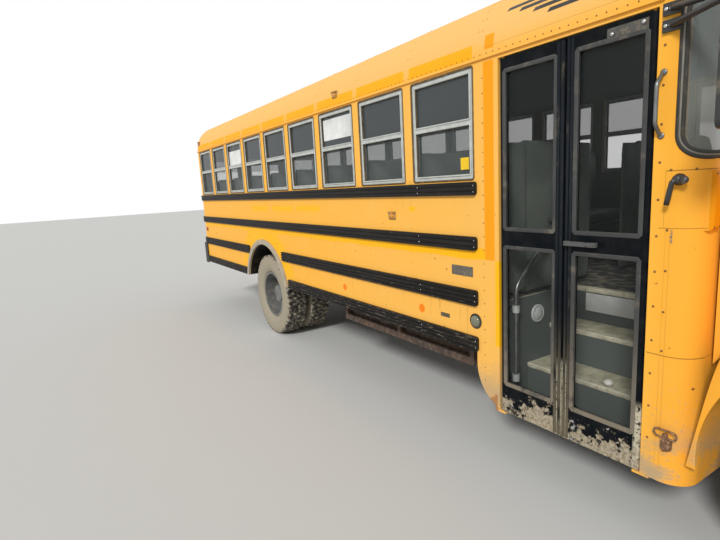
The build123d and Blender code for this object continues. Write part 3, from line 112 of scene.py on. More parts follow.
def calc(operation, a, b=0.0, clamp=False):
    tree = (a if isinstance(a, Shade) else b).tree
    return Shade(addNode(tree, "Math", {0: a, 1: b}, operation=operation, use_clamp=clamp).outputs[0])


def highest(*values):
    result = values[0]
    for value in values[1:]:
        result = calc("MAXIMUM", result, value)
    return result


def distance(x, z, x0, z0):
    # How far a place is from x0, z0: the root of the sum of both squares
    return calc("SQRT", calc("POWER", x - x0, 2.0) + calc("POWER", z - z0, 2.0))


def fade(value, start, end):
    # 0 at start, 1 at end, smooth between them
    inputs = {"Value": value, "From Min": start, "From Max": end, "To Min": 0.0, "To Max": 1.0}
    if start > end:
        inputs.update({"From Min": end, "From Max": start, "To Min": 1.0, "To Max": 0.0})
    return Shade(addNode(value.tree, "MapRange", inputs, interpolation_type="SMOOTHSTEP").outputs[0])


def band(value, low, high, soft):
    # 1 between low and high, 0 outside
    return fade(value, low - soft, low + soft) * fade(value, high + soft, high - soft)


def grain(where, scale, detail=3.0, stretch=(1, 1, 1), shift=0.0, rough=0.55):
    # Noise from 0 to 1, mostly near a half
    moved = addNode(where.tree, "Mapping", {"Vector": where, "Scale": stretch, "Location": (shift,) * 3})
    noise = addNode(where.tree, "TexNoise", {"Vector": Shade(moved.outputs[0]), "Scale": scale,
                                             "Detail": detail, "Roughness": rough})
    return Shade(noise.outputs[0])


def blend(amount, under, over):
    # The colour under where the amount is 0, the colour over where it is 1
    under, over = (colour if isinstance(colour, Shade) else (*colour, 1) for colour in (under, over))
    return Shade(addNode(amount.tree, "Mix", {0: amount, 6: under, 7: over}, data_type="RGBA").outputs[2])


def newMaterial(name):
    # The material, its shader, and the place on the object
    material = bpy.data.materials.new(name)
    material.use_nodes = True
    tree = material.node_tree
    tree.nodes.clear()
    shader = addNode(tree, "BsdfPrincipled")
    addNode(tree, "OutputMaterial", {"Surface": Shade(shader.outputs[0])})
    return material, shader, Shade(addNode(tree, "TexCoord").outputs["Object"])


def axes(vector):
    # The x, y and z of a place or a direction
    return [Shade(output) for output in addNode(vector.tree, "SeparateXYZ", {0: vector}).outputs]


def bumpBy(shader, height, strength, depth):
    bump = addNode(height.tree, "Bump", {"Height": height, "Strength": strength, "Distance": depth})
    plug(shader, {"Normal": Shade(bump.outputs[0])})


def wornFinish(name, colour, roughness, metallic=0.0, dirt=(0.30, 0.25, 0.17), dirtShare=0.4,
               dirtScale=5.0, grainScale=180.0, bump=0.15, second=None, stretch=(1, 1, 1),
               mudBelow=0.0, shine=0.5):
    # Colour varied by slow noise, dirt where a second noise is high, mud low down, fine grain in the bump
    material, shader, where = newMaterial(name)
    slow = grain(where, dirtScale, 4, stretch)
    base = blend(fade(slow, 0.35, 0.65), colour, second or tuple(c * 0.78 for c in colour))
    patchy = grain(where, dirtScale * 2.3, 6, stretch, 3.0, 0.65)
    dirty = fade(patchy, 0.62 - dirtShare * 0.3, 0.85 - dirtShare * 0.3) * min(1.0, dirtShare * 1.6)
    if mudBelow:
        dirty = highest(dirty, fade(axes(where)[2], mudBelow, mudBelow * 0.3) * fade(patchy, 0.3, 0.5))
    plug(shader, {"Base Color": blend(dirty, base, dirt), "Metallic": metallic, "Specular IOR Level": shine,
                  "Roughness": dirty * (0.85 - roughness) + roughness})
    bumpBy(shader, grain(where, grainScale, 3, stretch, 7.0) + dirty * 0.8, bump, 0.002)
    return material


yellowPaint = {
    "faded": (0.955, 0.465, 0.050), "pale": (0.92, 0.50, 0.115), "strong": (0.99, 0.49, 0.003),
    # The cowl and vent oranges are deeper as painted shade, where the skin turns forward
    "drip": (0.97, 0.42, 0.003), "amber": (0.93, 0.335, 0.001), "cowl": (0.90, 0.385, 0.035),
    "vent": (0.80, 0.27, 0.002), "roof": (0.86, 0.50, 0.17), "lining": (0.20, 0.22, 0.17),
    "mud": (0.42, 0.33, 0.21), "rust": (0.22, 0.075, 0.025), "primer": (0.20, 0.17, 0.14),
    # The seam colour is a dark line: the joint, and painted shadow of the overlapped sheet edge
    "run": (0.16, 0.10, 0.04), "spot": (0.93, 0.22, 0.005), "seam": (0.20, 0.09, 0.02),
    "sill": (0.36, 0.15, 0.06), "cutEdge": (0.020, 0.017, 0.014), "shine": 0.14,
    # x from, x to, z from, z to, edge softness: repainted or unfaded places on the right side
    "amberPatches": [(1.888, 1.968, 1.360, 2.566, 0.003), (1.900, 1.971, 2.632, 2.715, 0.003)],
    "strongPatches": [(1.972, 2.010, 0.800, 1.360, 0.004), (1.655, 1.790, 1.922, 2.040, 0.010),
                      (-2.23, -1.70, 1.62, 1.70, 0.02), (-1.55, -0.97, 1.63, 1.70, 0.02),
                      (-0.88, -0.33, 1.64, 1.70, 0.02), (1.12, 1.19, 1.66, 1.70, 0.01)],
    # Seams of the right side, dark as joint and painted shadow: x from, x to, z from, z to, how dark
    "seams": [(2.9635, 2.9665, 1.612, 1.862, 0.40), (2.965, 3.118, 1.8600, 1.8645, 0.75),
              (2.945, 3.118, 1.6060, 1.6100, 0.60), (2.974, 2.977, 0.460, 1.606, 0.22),
              (2.9935, 2.9965, 0.430, 1.606, 0.30), (1.890, 2.860, 2.6455, 2.6480, 0.40),
              (2.914, 3.118, 1.0070, 1.0120, 0.70), (1.7170, 1.7195, 0.830, 1.036, 0.55)],
    "scrape": (2.995, 3.005, 1.540, 1.600),
    # x, z, radius of the round orange spots
    "spots": [(0.083, 0.921, 0.034), (1.235, 0.922, 0.036)],
    # Dark runs: the height of the edge that they start from, how far down, how strong
    "runs": [(1.040, 0.20, 0.38), (1.413, 0.16, 0.10), (1.773, 0.14, 0.10), (beltZ + 0.010, 0.03, 0.8)],
    "secondRail": 1.413, "underRail": 0.056, "archZ": 0.57, "archEdge": 0.655,
    "firstBow": lastWindowX + 0.053,
}


def fadedCoat(x, z, slow, middle):
    # Paler towards the front, chalky in patches and on the roof; deeper at the cowl and on its vent, as
    # painted shade where the skin turns forward
    paint = yellowPaint
    paler = (slow * 0.7 + 0.2) * (fade(x, -1.5, 2.2) * fade(x, 2.98, 2.60))
    colour = blend(calc("MULTIPLY", paler, 1.3, clamp=True), paint["faded"], paint["pale"])
    colour = blend(fade(middle, 0.52, 0.75) * 0.45, colour, paint["pale"])
    # Painted shade: a mottled, deeper orange towards the cowl, and deeper still on the vent that faces
    # forward
    cowlShade = fade(x, 2.86, 3.10) * (slow * 0.6 + 0.5)
    colour = blend(calc("MULTIPLY", cowlShade, 1.0, clamp=True), colour, paint["cowl"])
    vent = fade(x, cowlX, cowlX + 0.006) * band(z, 1.600, 1.868, 0.004) * fade(x, cowlX + 0.05, cowlX + 0.04)
    colour = blend(vent, colour, paint["vent"])
    return blend(fade(z, 2.60, 2.72) * 0.8, colour, paint["roof"])


def unfadedStrips(colour, x, y, z, middle, onRight, fromArch):
    # Along the drip between the bows, under the second rail, round the rear arch, and the patches
    paint = yellowPaint
    bow = calc("FRACT", (x - paint["firstBow"]) / windowPitch + 40.0)
    drip = (band(z, 2.603, 2.683, 0.004) * band(bow, 0.045, 0.955, 0.01)
            * fade(x, lastWindowX + 0.004, lastWindowX - 0.004) * fade(x, bodyRearX + 0.10, bodyRearX + 0.16))
    colour = blend(drip * 0.92, colour, paint["drip"])
    # 1 just under the rail, fading out over its reach, with an uneven lower edge
    rail, reach = paint["secondRail"], paint["underRail"]
    under = fade(rail - z + middle * (reach * 0.8), reach * 1.5, reach * 1.38)
    under = under * fade(rail + 0.02 - z, 0.0, 0.004)
    under = under * fade(x, 1.890, 1.884) * fade(abs(y), sideY - 0.03, sideY - 0.02)
    roundArch = fade(fromArch + middle * -0.55, 0.66, 0.58) * fade(z, 0.75, 0.95)
    strip = highest(under * 0.95, roundArch * 0.9) * fade(z, 2.70, 2.69)
    colour = blend(strip, colour, paint["strong"])
    for kind in ("strong", "amber"):
        marks = [band(x, x0, x1, soft) * band(z, z0, z1, soft)
                 for x0, x1, z0, z1, soft in paint[kind + "Patches"]]
        colour = blend(highest(*marks) * onRight * 0.92, colour, paint[kind])
    return colour


def insideOnly(where, x, y, z):
    # 1 on faces of the body's panels that look inwards: their normal points back to the middle of the cabin
    normal = Shade(addNode(where.tree, "TexCoord").outputs["Normal"])
    outward = Shade(addNode(where.tree, "CombineXYZ", {0: x * 0.04, 1: y, 2: z - 1.9}).outputs[0])
    facing = addNode(where.tree, "VectorMath", {0: normal, 1: outward}, operation="DOT_PRODUCT")
    deep = fade(abs(y), sideY - 0.012, sideY - 0.03) * fade(x, cowlX - 0.015, cowlX - 0.03)
    return fade(Shade(facing.outputs["Value"]), 0.0, -0.02) * deep


def makeYellow():
    material, shader, where = newMaterial("yellowPaint")
    x, y, z = axes(where)
    paint = yellowPaint
    slow = grain(where, 0.9, 3)
    middle = grain(where, 3.5, 4, (1, 1, 1.6), 5.0)
    streak = grain(where, 9.0, 4, (3.0, 3.0, 0.16), 2.0)
    speck = grain(where, 55.0, 4, (1, 1, 1), 9.0)
    onRight = fade(y, -0.4, -0.7)
    fromArch = distance(x, z, rearAxleX, paint["archZ"])
    colour = fadedCoat(x, z, slow, middle)
    colour = unfadedStrips(colour, x, y, z, middle, onRight, fromArch)

    # Dark runs under the lower rails and the windows, then mud low down and splashes above it
    runs = [fade(start - z, reach, 0.0) * fade(start - z, -0.01, 0.0) * fade(streak, 0.56, 0.72) * strength
            for start, reach, strength in paint["runs"]]
    alongRails = fade(x, lastWindowX + 0.028, lastWindowX + 0.022)
    colour = blend(highest(*runs) * alongRails, colour, paint["run"])
    muddy = fade(z, 0.78, 0.36) * fade(middle + speck * 0.35, 0.56, 0.80)
    colour = blend(muddy * 0.9, colour, paint["mud"])
    colour = blend(fade(z, 1.05, 0.60) * fade(speck, 0.60, 0.70) * 0.6, colour, paint["mud"])

    # Round spots, dark seams (joint line and painted shadow), and the scrape beside the corner screws
    for spotX, spotZ, radius in paint["spots"]:
        spot = fade(distance(x, z, spotX, spotZ), radius * 1.1, radius * 0.8) * onRight * 0.95
        colour = blend(spot, colour, paint["spot"])
    seams = [band(x, x0, x1, 0.0012) * band(z, z0, z1, 0.0012) * dark
             for x0, x1, z0, z1, dark in paint["seams"]]
    seamShadows = highest(*seams) * onRight * fade(y, -1.0, -1.05)
    colour = blend(seamShadows, colour, paint["seam"])
    x0, x1, z0, z1 = paint["scrape"]
    scraped = band(x, x0, x1, 0.004) * band(z, z0, z1, 0.006) * onRight * fade(speck, 0.42, 0.52)
    colour = blend(scraped, colour, paint["primer"])

    # Rust at the sill, below a slanting and uneven line, and rust specks all over
    corner = z + (1.97 - x) * 0.75 + speck * 0.06
    rusty = fade(corner, 0.505, 0.480) * fade(x, 1.99, 1.98) * fade(x, 1.86, 1.88) * onRight * 0.8
    colour = blend(rusty, colour, paint["sill"])
    chips = fade(grain(where, 26.0, 2, (1, 1, 1), 4.0, 0.4), 0.752, 0.772)
    colour = blend(chips * fade(z, 2.8, 0.5), colour, paint["rust"])

    # The cut edge inside the rear arch is black, and the same panels show a grey-green lining inside
    edge = paint["archEdge"]
    cutEdge = (fade(fromArch, edge + 0.005, edge - 0.005) * fade(z, 1.25, 1.24)
               * fade(abs(y), sideY - 0.002, sideY - 0.004))
    colour = blend(cutEdge, colour, paint["cutEdge"])
    colour = blend(insideOnly(where, x, y, z), colour, paint["lining"])

    rough = middle * 0.22 + 0.34 + fade(z, 2.60, 2.72) * 0.25
    plug(shader, {"Base Color": colour, "Roughness": calc("ADD", rough, muddy * 0.3, clamp=True),
                  "Specular IOR Level": paint["shine"]})
    bumpBy(shader, grain(where, 1.7, 1) - seamShadows * 0.12 + chips * -0.02, 0.35, 0.02)
    return material


leafPaint = {
    "black": (0.004, 0.0055, 0.0075), "dusty": (0.014, 0.015, 0.015), "cream": (0.50, 0.46, 0.34),
    "primer": (0.36, 0.35, 0.33), "darkMud": (0.25, 0.20, 0.135), "paleMud": (0.43, 0.375, 0.275),
    "pull": (0.135, 0.135, 0.130), "shine": 0.06,
}


def makeLeafBlack():
    # Black leaf paint, cream where it is worn at the closing edges, primer and mud at the foot
    material, shader, where = newMaterial("leafBlack")
    x, y, z = axes(where)
    paint = leafPaint
    blot = grain(where, 9.0, 6, (1, 1, 0.8), 1.0, 0.62)
    fine = grain(where, 60.0, 4, (1, 1, 1), 3.0)
    colour = blend(fade(blot, 0.4, 0.75), paint["black"], paint["dusty"])
    middleX = (doorRearX + doorFrontX) / 2
    closing = band(x, middleX - 0.038, middleX + 0.040, 0.004) * fade(z, 0.86, 0.80)
    jamb = fade(x, doorFrontX - 0.045, doorFrontX - 0.035) * fade(z, 0.75, 0.68)
    colour = blend(highest(closing, jamb) * fade(fine, 0.36, 0.50), colour, paint["cream"])
    foot = fade(z, 0.58, 0.38)
    chip = fade(blot + foot * 0.12, 0.655, 0.685)
    colour = blend(chip * fade(z, 0.60, 0.55), colour, paint["primer"])
    heap = grain(where, 5.0, 2, (1, 1, 0.4), 1.7)
    muddy = grain(where, 26.0, 6, (1, 1, 1), 8.0, 0.7) + foot * 0.30 + heap * 0.45
    muddy = fade(muddy, 0.86, 0.94) * fade(z, 0.62, 0.54)
    colour = blend(muddy, colour, blend(fade(fine, 0.35, 0.65), paint["darkMud"], paint["paleMud"]))
    pull = fade(y, entranceFace - 0.003, entranceFace - 0.006) * fade(fine, 0.30, 0.45) * 0.8
    colour = blend(pull, colour, paint["pull"])
    plug(shader, {"Base Color": colour, "Roughness": highest(blot * 0.35 + 0.30, muddy),
                  "Specular IOR Level": paint["shine"]})
    bumpBy(shader, fine + chip + muddy, 0.25, 0.002)
    return material


def makeRailBlack():
    # Ribbed rails: black enamel with dust in the grooves, worn grey marks and rust
    material, shader, where = newMaterial("railBlack")
    y, z = axes(where)[1:]
    long = grain(where, 7.0, 6, (0.35, 1, 5.0), 2.0, 0.65)
    fine = grain(where, 60.0, 4, (0.25, 1, 2.2), 6.0)
    colour = blend(fade(long, 0.40, 0.72), (0.007, 0.0065, 0.006), (0.022, 0.019, 0.016))
    low = fade(z, 1.28, 0.90)
    colour = blend(fade(fine + low * 0.10, 0.70, 0.76) * 0.55, colour, (0.30, 0.25, 0.19))
    colour = blend(fade(long, 0.62, 0.74) * low * 0.5, colour, (0.10, 0.045, 0.025))
    groove = fade(abs(y), sideY + 0.019, sideY + 0.014)
    colour = blend(groove * 0.12, colour, (0.12, 0.10, 0.07))
    plug(shader, {"Base Color": colour, "Roughness": long * 0.4 + 0.34, "Specular IOR Level": 0.2})
    bumpBy(shader, fine + long, 0.2, 0.002)
    return material


def makeGlass(name, tint, upperTint, seeThrough, upperSeeThrough, dust):
    # A dark pane that lets part of the view through: thin even dust and a few smears
    material, shader, where = newMaterial(name)
    cloud = grain(where, 1.6, 2, (1, 1, 1.4), 3.0)
    smear = fade(grain(where, 11.0, 5, (1.6, 1.6, 0.35), 6.0), 0.60, 0.86)
    dusty = calc("MULTIPLY", cloud * 0.30 + smear * 0.6, dust, clamp=True)
    upper = fade(axes(where)[2], sash["railZ"] - 0.01, sash["railZ"] + 0.01)
    shut = upper * (seeThrough - upperSeeThrough) + (1 - seeThrough)
    plug(shader, {"Base Color": blend(dusty, blend(upper, tint, upperTint), (0.30, 0.31, 0.29)),
                  "Alpha": calc("ADD", shut, dusty * seeThrough, clamp=True),
                  "Roughness": dusty * 0.5 + 0.05})
    bumpBy(shader, grain(where, 1.3, 1), 0.04, 0.02)
    return material


def makeLens(name, colour):
    # Moulded lens: fine upright flutes, dust and a gloss surface
    material, shader, where = newMaterial(name)
    x, y = axes(where)[:2]
    dusty = fade(grain(where, 30.0, 4), 0.5, 0.8)
    plug(shader, {"Base Color": blend(dusty * 0.35, colour, (0.35, 0.29, 0.2)),
                  "Roughness": dusty * 0.4 + 0.12, "Coat Weight": 0.4})
    bumpBy(shader, calc("SINE", (x + y) * 700.0), 0.12, 0.002)
    return material


def makeTyreRubber():
    # Rubber under dried mud: thick on the walls, broken up on the tread
    material, shader, where = newMaterial("tyreRubber")
    clod = grain(where, 22.0, 6, (1, 1, 1), 2.0, 0.7)
    fine = grain(where, 160.0, 3)
    wall = addNode(where.tree, "Attribute", attribute_name="wall", attribute_type="GEOMETRY").outputs["Fac"]
    caked = fade(clod + Shade(wall) * 0.30, 0.52, 0.66)
    mud = blend(fine, (0.27, 0.235, 0.17), (0.40, 0.35, 0.26))
    plug(shader, {"Base Color": blend(caked, (0.030, 0.027, 0.025), mud), "Roughness": caked * 0.25 + 0.62})
    bumpBy(shader, clod + fine * 0.4, 0.6, 0.006)
    return material


def makeVinyl():
    # Seat vinyl: small leather grain and a little sheen, its green lightened in slow patches as painted
    # sunlight
    material, shader, where = newMaterial("seatVinyl")
    cells = addNode(where.tree, "TexVoronoi", {"Vector": where, "Scale": 260.0}, feature="SMOOTH_F1")
    slow = grain(where, 3.0, 4)
    # Both greens are lightened to stand for sunlight in the cabin: painted light
    plug(shader, {"Base Color": blend(fade(slow, 0.35, 0.7), (0.095, 0.115, 0.095), (0.165, 0.185, 0.155)),
                  "Roughness": slow * 0.3 + 0.35, "Sheen Weight": 0.1})
    bumpBy(shader, Shade(cells.outputs[0]), 0.08, 0.001)
    return material


def makeStepRubber():
    # Olive treads lightened as painted sunlight, ribs along the bus, pale worn nosings, upright faces dark
    material, shader, where = newMaterial("stepRubber")
    dust = grain(where, 12.0, 5)
    normal = Shade(addNode(where.tree, "NewGeometry").outputs["Normal"])
    level = calc("GREATER_THAN", axes(normal)[2], 0.5)
    # The tread colours are lightened as painted sunlight; faces that are not level stay dark
    tread = blend(fade(dust, 0.35, 0.7), (0.42, 0.39, 0.26), (0.70, 0.66, 0.47))
    colour = blend(level, (0.105, 0.122, 0.112), tread)
    y = axes(where)[1]
    outerY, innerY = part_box("stepwell")[0].y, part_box("stepwell")[1].y - stepSheet
    stepRun = (innerY - outerY) / 3
    along = calc("FRACT", (y - (outerY - stepRun)) / stepRun)
    nosing = fade(along, 0.19, 0.16) * level * fade(dust, 0.30, 0.38)
    plug(shader, {"Base Color": blend(nosing, colour, (0.60, 0.56, 0.40)), "Roughness": 0.75})
    bumpBy(shader, calc("SINE", y * 380.0) * level + dust, 0.25, 0.002)
    return material


def makeSignRed():
    # Stop sign with a pale rim and no words: the rim follows the octagon's distance from its middle
    material, shader, where = newMaterial("signRed")
    x, z = axes(where)[::2]
    low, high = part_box("stop_arm")
    across = abs(x - (low.x + (high.z - low.z) / 2))
    upright = abs(z - (low.z + high.z) / 2)
    edge = highest(across, upright, (across + upright) * math.sqrt(0.5))
    wear = grain(where, 12.0, 5)
    red = blend(wear, (0.48, 0.025, 0.02), (0.62, 0.10, 0.07))
    plug(shader, {"Base Color": blend(band(edge, 0.200, 0.219, 0.001), red, (0.72, 0.70, 0.66)),
                  "Roughness": wear * 0.3 + 0.3})
    bumpBy(shader, wear, 0.1, 0.002)
    return material


# Plain finishes: the values that wornFinish takes, by name
wornFinishes = {
    "blackEnamel": dict(colour=(0.028, 0.028, 0.028), roughness=0.38, dirtShare=0.35),
    "bumperBlack": dict(colour=(0.016, 0.015, 0.015), roughness=0.48, dirt=(0.10, 0.08, 0.06), dirtShare=0.35,
                        mudBelow=0.62),
    "chassisBlack": dict(colour=(0.040, 0.036, 0.033), roughness=0.62, dirt=(0.21, 0.15, 0.10), dirtShare=0.7,
                         mudBelow=0.8),
    "rustySteel": dict(colour=(0.085, 0.048, 0.032), roughness=0.80, dirt=(0.15, 0.11, 0.075), dirtShare=0.6,
                       dirtScale=9.0, second=(0.045, 0.032, 0.027), bump=0.4),
    "castIron": dict(colour=(0.10, 0.10, 0.10), roughness=0.65, metallic=0.6, bump=0.4),
    "flareGrey": dict(colour=(0.40, 0.37, 0.31), roughness=0.70, dirt=(0.46, 0.38, 0.26), dirtShare=0.8,
                      dirtScale=8.0, bump=0.3),
    "wheelHouseGrey": dict(colour=(0.016, 0.014, 0.012), roughness=0.85, dirt=(0.060, 0.048, 0.034),
                           dirtShare=0.5, shine=0.1),
    "rimGrey": dict(colour=(0.18, 0.185, 0.18), roughness=0.50, metallic=0.15, dirt=(0.36, 0.29, 0.19),
                    dirtShare=0.45, dirtScale=7.0, bump=0.2),
    "aluminium": dict(colour=(0.56, 0.58, 0.545), roughness=0.50, metallic=0.15, dirt=(0.40, 0.41, 0.37),
                      second=(0.47, 0.49, 0.46), dirtShare=0.35, dirtScale=14.0, bump=0.12),
    "dullSteel": dict(colour=(0.21, 0.22, 0.22), roughness=0.34, metallic=0.8, dirtShare=0.35,
                      dirtScale=20.0),
    "markerBrown": dict(colour=(0.52, 0.29, 0.06), roughness=0.5, dirt=(0.20, 0.13, 0.06), dirtShare=0.6,
                        dirtScale=35.0, bump=0.25),
    "beadGrey": dict(colour=(0.20, 0.19, 0.16), roughness=0.55, dirtScale=12.0),
    "flagYellow": dict(colour=(0.98, 0.62, 0.01), roughness=0.5, dirtShare=0.1),
    "darkAluminium": dict(colour=(0.070, 0.072, 0.070), roughness=0.55, metallic=0.2,
                          dirt=(0.25, 0.21, 0.155), dirtShare=0.35, bump=0.12, mudBelow=1.25, shine=0.25),
    "bareSteel": dict(colour=(0.52, 0.53, 0.53), roughness=0.26, metallic=0.9, dirtShare=0.25,
                      dirtScale=12.0),
    "rubber": dict(colour=(0.022, 0.022, 0.023), roughness=0.70, dirt=(0.14, 0.12, 0.09), dirtShare=0.5,
                   dirtScale=16.0, bump=0.3),
    "seatSteel": dict(colour=(0.13, 0.13, 0.12), roughness=0.5, dirtShare=0.3),
    "floorRubber": dict(colour=(0.050, 0.052, 0.050), roughness=0.8, dirtShare=0.6, grainScale=90.0,
                        bump=0.5),
    "cabPlastic": dict(colour=(0.045, 0.045, 0.047), roughness=0.55, dirtShare=0.35, grainScale=420.0),
    "signWhite": dict(colour=(0.80, 0.80, 0.78), roughness=0.5, dirtShare=0.25, dirt=(0.60, 0.58, 0.52)),
    "plateGrey": dict(colour=(0.115, 0.105, 0.085), roughness=0.55, dirtShare=0.5, dirtScale=40.0),
    "plateDark": dict(colour=(0.10, 0.075, 0.04), roughness=0.55, dirtScale=60.0),
    "latchRust": dict(colour=(0.17, 0.075, 0.035), roughness=0.75, dirt=(0.38, 0.24, 0.13), dirtShare=0.6,
                      dirtScale=30.0, bump=0.5),
    "sealRubber": dict(colour=(0.010, 0.013, 0.017), roughness=0.60, dirt=(0.22, 0.19, 0.13), dirtShare=0.25,
                       dirtScale=10.0, stretch=(1, 1, 0.3), bump=0.2, mudBelow=1.2, shine=0.12),
    "plateSteel": dict(colour=(0.105, 0.100, 0.090), roughness=0.45, metallic=0.5, dirtScale=20.0),
    "nosing": dict(colour=(0.78, 0.73, 0.54), roughness=0.70, dirt=(0.40, 0.35, 0.24), dirtShare=0.5,
                   dirtScale=14.0),
    "gasketGrey": dict(colour=(0.050, 0.048, 0.042), roughness=0.65, dirt=(0.15, 0.125, 0.085),
                       dirtShare=0.35, dirtScale=10.0, bump=0.2, shine=0.2),
    "gasketBrown": dict(colour=(0.13, 0.080, 0.030), roughness=0.75, dirt=(0.30, 0.20, 0.09), dirtShare=0.5,
                        dirtScale=12.0),
    "mirrorFace": dict(colour=(0.70, 0.72, 0.72), roughness=0.06, metallic=1.0, dirtShare=0.2, bump=0.02),
    "rivetDark": dict(colour=(0.34, 0.17, 0.035), roughness=0.6, dirt=(0.12, 0.07, 0.03), dirtShare=0.6,
                      dirtScale=30.0),
    "screwRust": dict(colour=(0.24, 0.11, 0.03), roughness=0.7, dirt=(0.10, 0.05, 0.02), dirtScale=60.0),
    "knobCream": dict(colour=(0.84, 0.82, 0.72), roughness=0.45, dirtShare=0.2),
}
finishes = {name: wornFinish(name, **values) for name, values in wornFinishes.items()}

# Glass: tint of the lower and the upper pane, how much of each lets the view through, dust
glassKinds = {
    "sideGlass": ((0.145, 0.175, 0.175), (0.075, 0.090, 0.095), 0.82, 0.58, 0.24),
    "doorGlass": ((0.030, 0.036, 0.036), (0.030, 0.038, 0.042), 0.91, 0.88, 0.12),
    "frontGlass": ((0.20, 0.21, 0.18), (0.16, 0.18, 0.17), 0.50, 0.50, 0.25),
}
lensColours = {"amberLens": (0.66, 0.25, 0.015), "redLens": (0.40, 0.015, 0.015),
               "lampGrey": (0.16, 0.17, 0.12), "clearLens": (0.62, 0.64, 0.62)}
finishes.update({name: makeGlass(name, *values) for name, values in glassKinds.items()})
finishes.update({name: makeLens(name, colour) for name, colour in lensColours.items()})
finishes.update({"yellow": makeYellow(), "leafBlack": makeLeafBlack(), "railBlack": makeRailBlack(),
                 "tyreRubber": makeTyreRubber(), "vinyl": makeVinyl(), "stepRubber": makeStepRubber(),
                 "signRed": makeSignRed()})

nodeFinish = {
    "yellow": ["side_panel_right", "side_panel_left", "window_posts", "roof", "roof_caps", "rear_wall",
               "cowl", "windscreen_surround", "hood_shell", "rear_door_panel"],
    "leafBlack": ["door_front_frame", "door_rear_frame"],
    "railBlack": ["rub_rails"],
    "bumperBlack": ["rear_bumper", "front_bumper"],
    "blackEnamel": ["mirrors", "grille", "lamp_housings"],
    "chassisBlack": ["frame_rails", "crossmembers", "springs", "front_axle", "rear_axle", "knuckle_left",
                     "knuckle_right", "tie_rod"],
    "rustySteel": ["exhaust", "fuel_tank"],
    "castIron": ["engine_block", "radiator"],
    "flareGrey": ["arch_flares"],
    "wheelHouseGrey": ["wheel_houses"],
    "rimGrey": ["front_rim_left", "front_rim_right", "rear_rims_left", "rear_rims_right"],
    "tyreRubber": ["front_tyre_left", "front_tyre_right", "rear_tyres_left", "rear_tyres_right"],
    "aluminium": ["window_frames"],
    "bareSteel": ["headlamps"],
    "dullSteel": ["grab_rails"],
    "sideGlass": ["window_glass", "rear_door_glass"],
    "doorGlass": ["door_front_glass", "door_rear_glass"],
    "frontGlass": ["windscreen"],
    "redLens": ["lenses_red"],
    "amberLens": ["lenses_amber"],
    "signRed": ["stop_arm"],
    "rubber": ["door_release", "hood_latches", "stop_arm_box"],
    "vinyl": ["seat_pads"],
    "seatSteel": ["seat_frames"],
    "floorRubber": ["floor"],
    "stepRubber": ["stepwell"],
    "cabPlastic": ["dashboard", "steering_wheel"],
}
for finishName, nodeNames in nodeFinish.items():
    for nodeName in nodeNames:
        nodes[nodeName].data.materials.clear()
        nodes[nodeName].data.materials.append(finishes[finishName])
bare = set(nodes) - {name for names in nodeFinish.values() for name in names}
print("finishes given to every node" if not bare else f"nodes with no finish: {sorted(bare)}")

# Mesh helpers


def makePiece(name, shells, finish, body, smooth=True):
    # One piece from a list of shells, riding on a body
    points, faces = joined(shells)
    mesh = bpy.data.meshes.new(name)
    mesh.from_pydata(points.tolist(), [], faces)
    mesh.validate()
    if smooth:
        mesh.shade_smooth()
    mesh.materials.append(finishes[finish])
    piece = bpy.data.objects.new(name, mesh)
    bpy.context.scene.collection.objects.link(piece)
    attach(piece, body)
    return piece


def gridFaces(rows, columns, wrapRows=False, wrapColumns=False):
    # Quads between neighbours of a rows by columns grid of points
    r = np.arange(rows if wrapRows else rows - 1)
    c = np.arange(columns if wrapColumns else columns - 1)
    r, c = np.meshgrid(r, c, indexing="ij")
    r1, c1 = (r + 1) % rows, (c + 1) % columns
    quads = np.stack([r * columns + c, r * columns + c1, r1 * columns + c1, r1 * columns + c], axis=-1)
    return quads.reshape(-1, 4).tolist()


def rodFaces(rows, sides):
    # Closed rings one after another, with the first and the last shut
    last = (rows - 1) * sides
    return gridFaces(rows, sides, wrapColumns=True) + [list(range(sides))[::-1],
                                                       list(range(last, last + sides))]


def slabFaces(rows, columns):
    # A sheet folded back under itself, with the ends of its rows shut
    ends = [list(range(column, rows * columns, columns)) for column in (0, columns - 1)]
    return gridFaces(rows, columns, wrapRows=True) + [ends[0], ends[1][::-1]]


def rounds(u, v, sides):
    # Points of a unit ring: u cos t + v sin t, for one or many pairs of directions u and v
    angle = np.linspace(0, 2 * math.pi, sides, endpoint=False)[:, None]
    return np.cos(angle) * u[..., None, :] + np.sin(angle) * v[..., None, :]


def outwards(points, faces):
    # A closed shell turned so that its volume, summed over fans of its faces, is more than zero
    points = np.asarray(points, float).reshape(-1, 3)
    middle, volume = points.mean(0), 0.0
    for size in {len(face) for face in faces}:
        fans = points[np.array([face for face in faces if len(face) == size])] - middle
        for i in range(1, size - 1):
            volume += np.sum(fans[:, 0] * np.cross(fans[:, i], fans[:, i + 1]))
    return points, faces if volume > 0 else [face[::-1] for face in faces]


def joined(parts):
    # Several shells (points, faces) as one, each facing outwards
    points, faces, count = [], [], 0
    for partPoints, partFaces in (outwards(*part) for part in parts):
        points.append(partPoints)
        faces += [[i + count for i in face] for face in partFaces]
        count += len(partPoints)
    return np.concatenate(points), faces


def sideAxes(axis):
    # Two directions square to each given axis, each a unit length
    axis = np.asarray(axis, float)
    axis = axis / np.linalg.norm(axis, axis=-1, keepdims=True)
    helper = np.where(np.abs(axis[..., 2:3]) < 0.9, [[0.0, 0.0, 1.0]], [[1.0, 0.0, 0.0]])
    first = np.cross(helper, axis)
    first = first / np.linalg.norm(first, axis=-1, keepdims=True)
    return axis, first, np.cross(axis, first)


def lathe(profile, centre, axis, sides=32):
    # A profile of (radius, height) turned about the axis: centre + height along it + radius round it
    profile = np.asarray(profile, float)[:, None]
    axis, u, v = (a.reshape(3) for a in sideAxes([axis]))
    points = np.asarray(centre, float) + profile[..., 1:] * axis + profile[..., :1] * rounds(u, v, sides)
    return points.reshape(-1, 3), rodFaces(len(profile), sides)


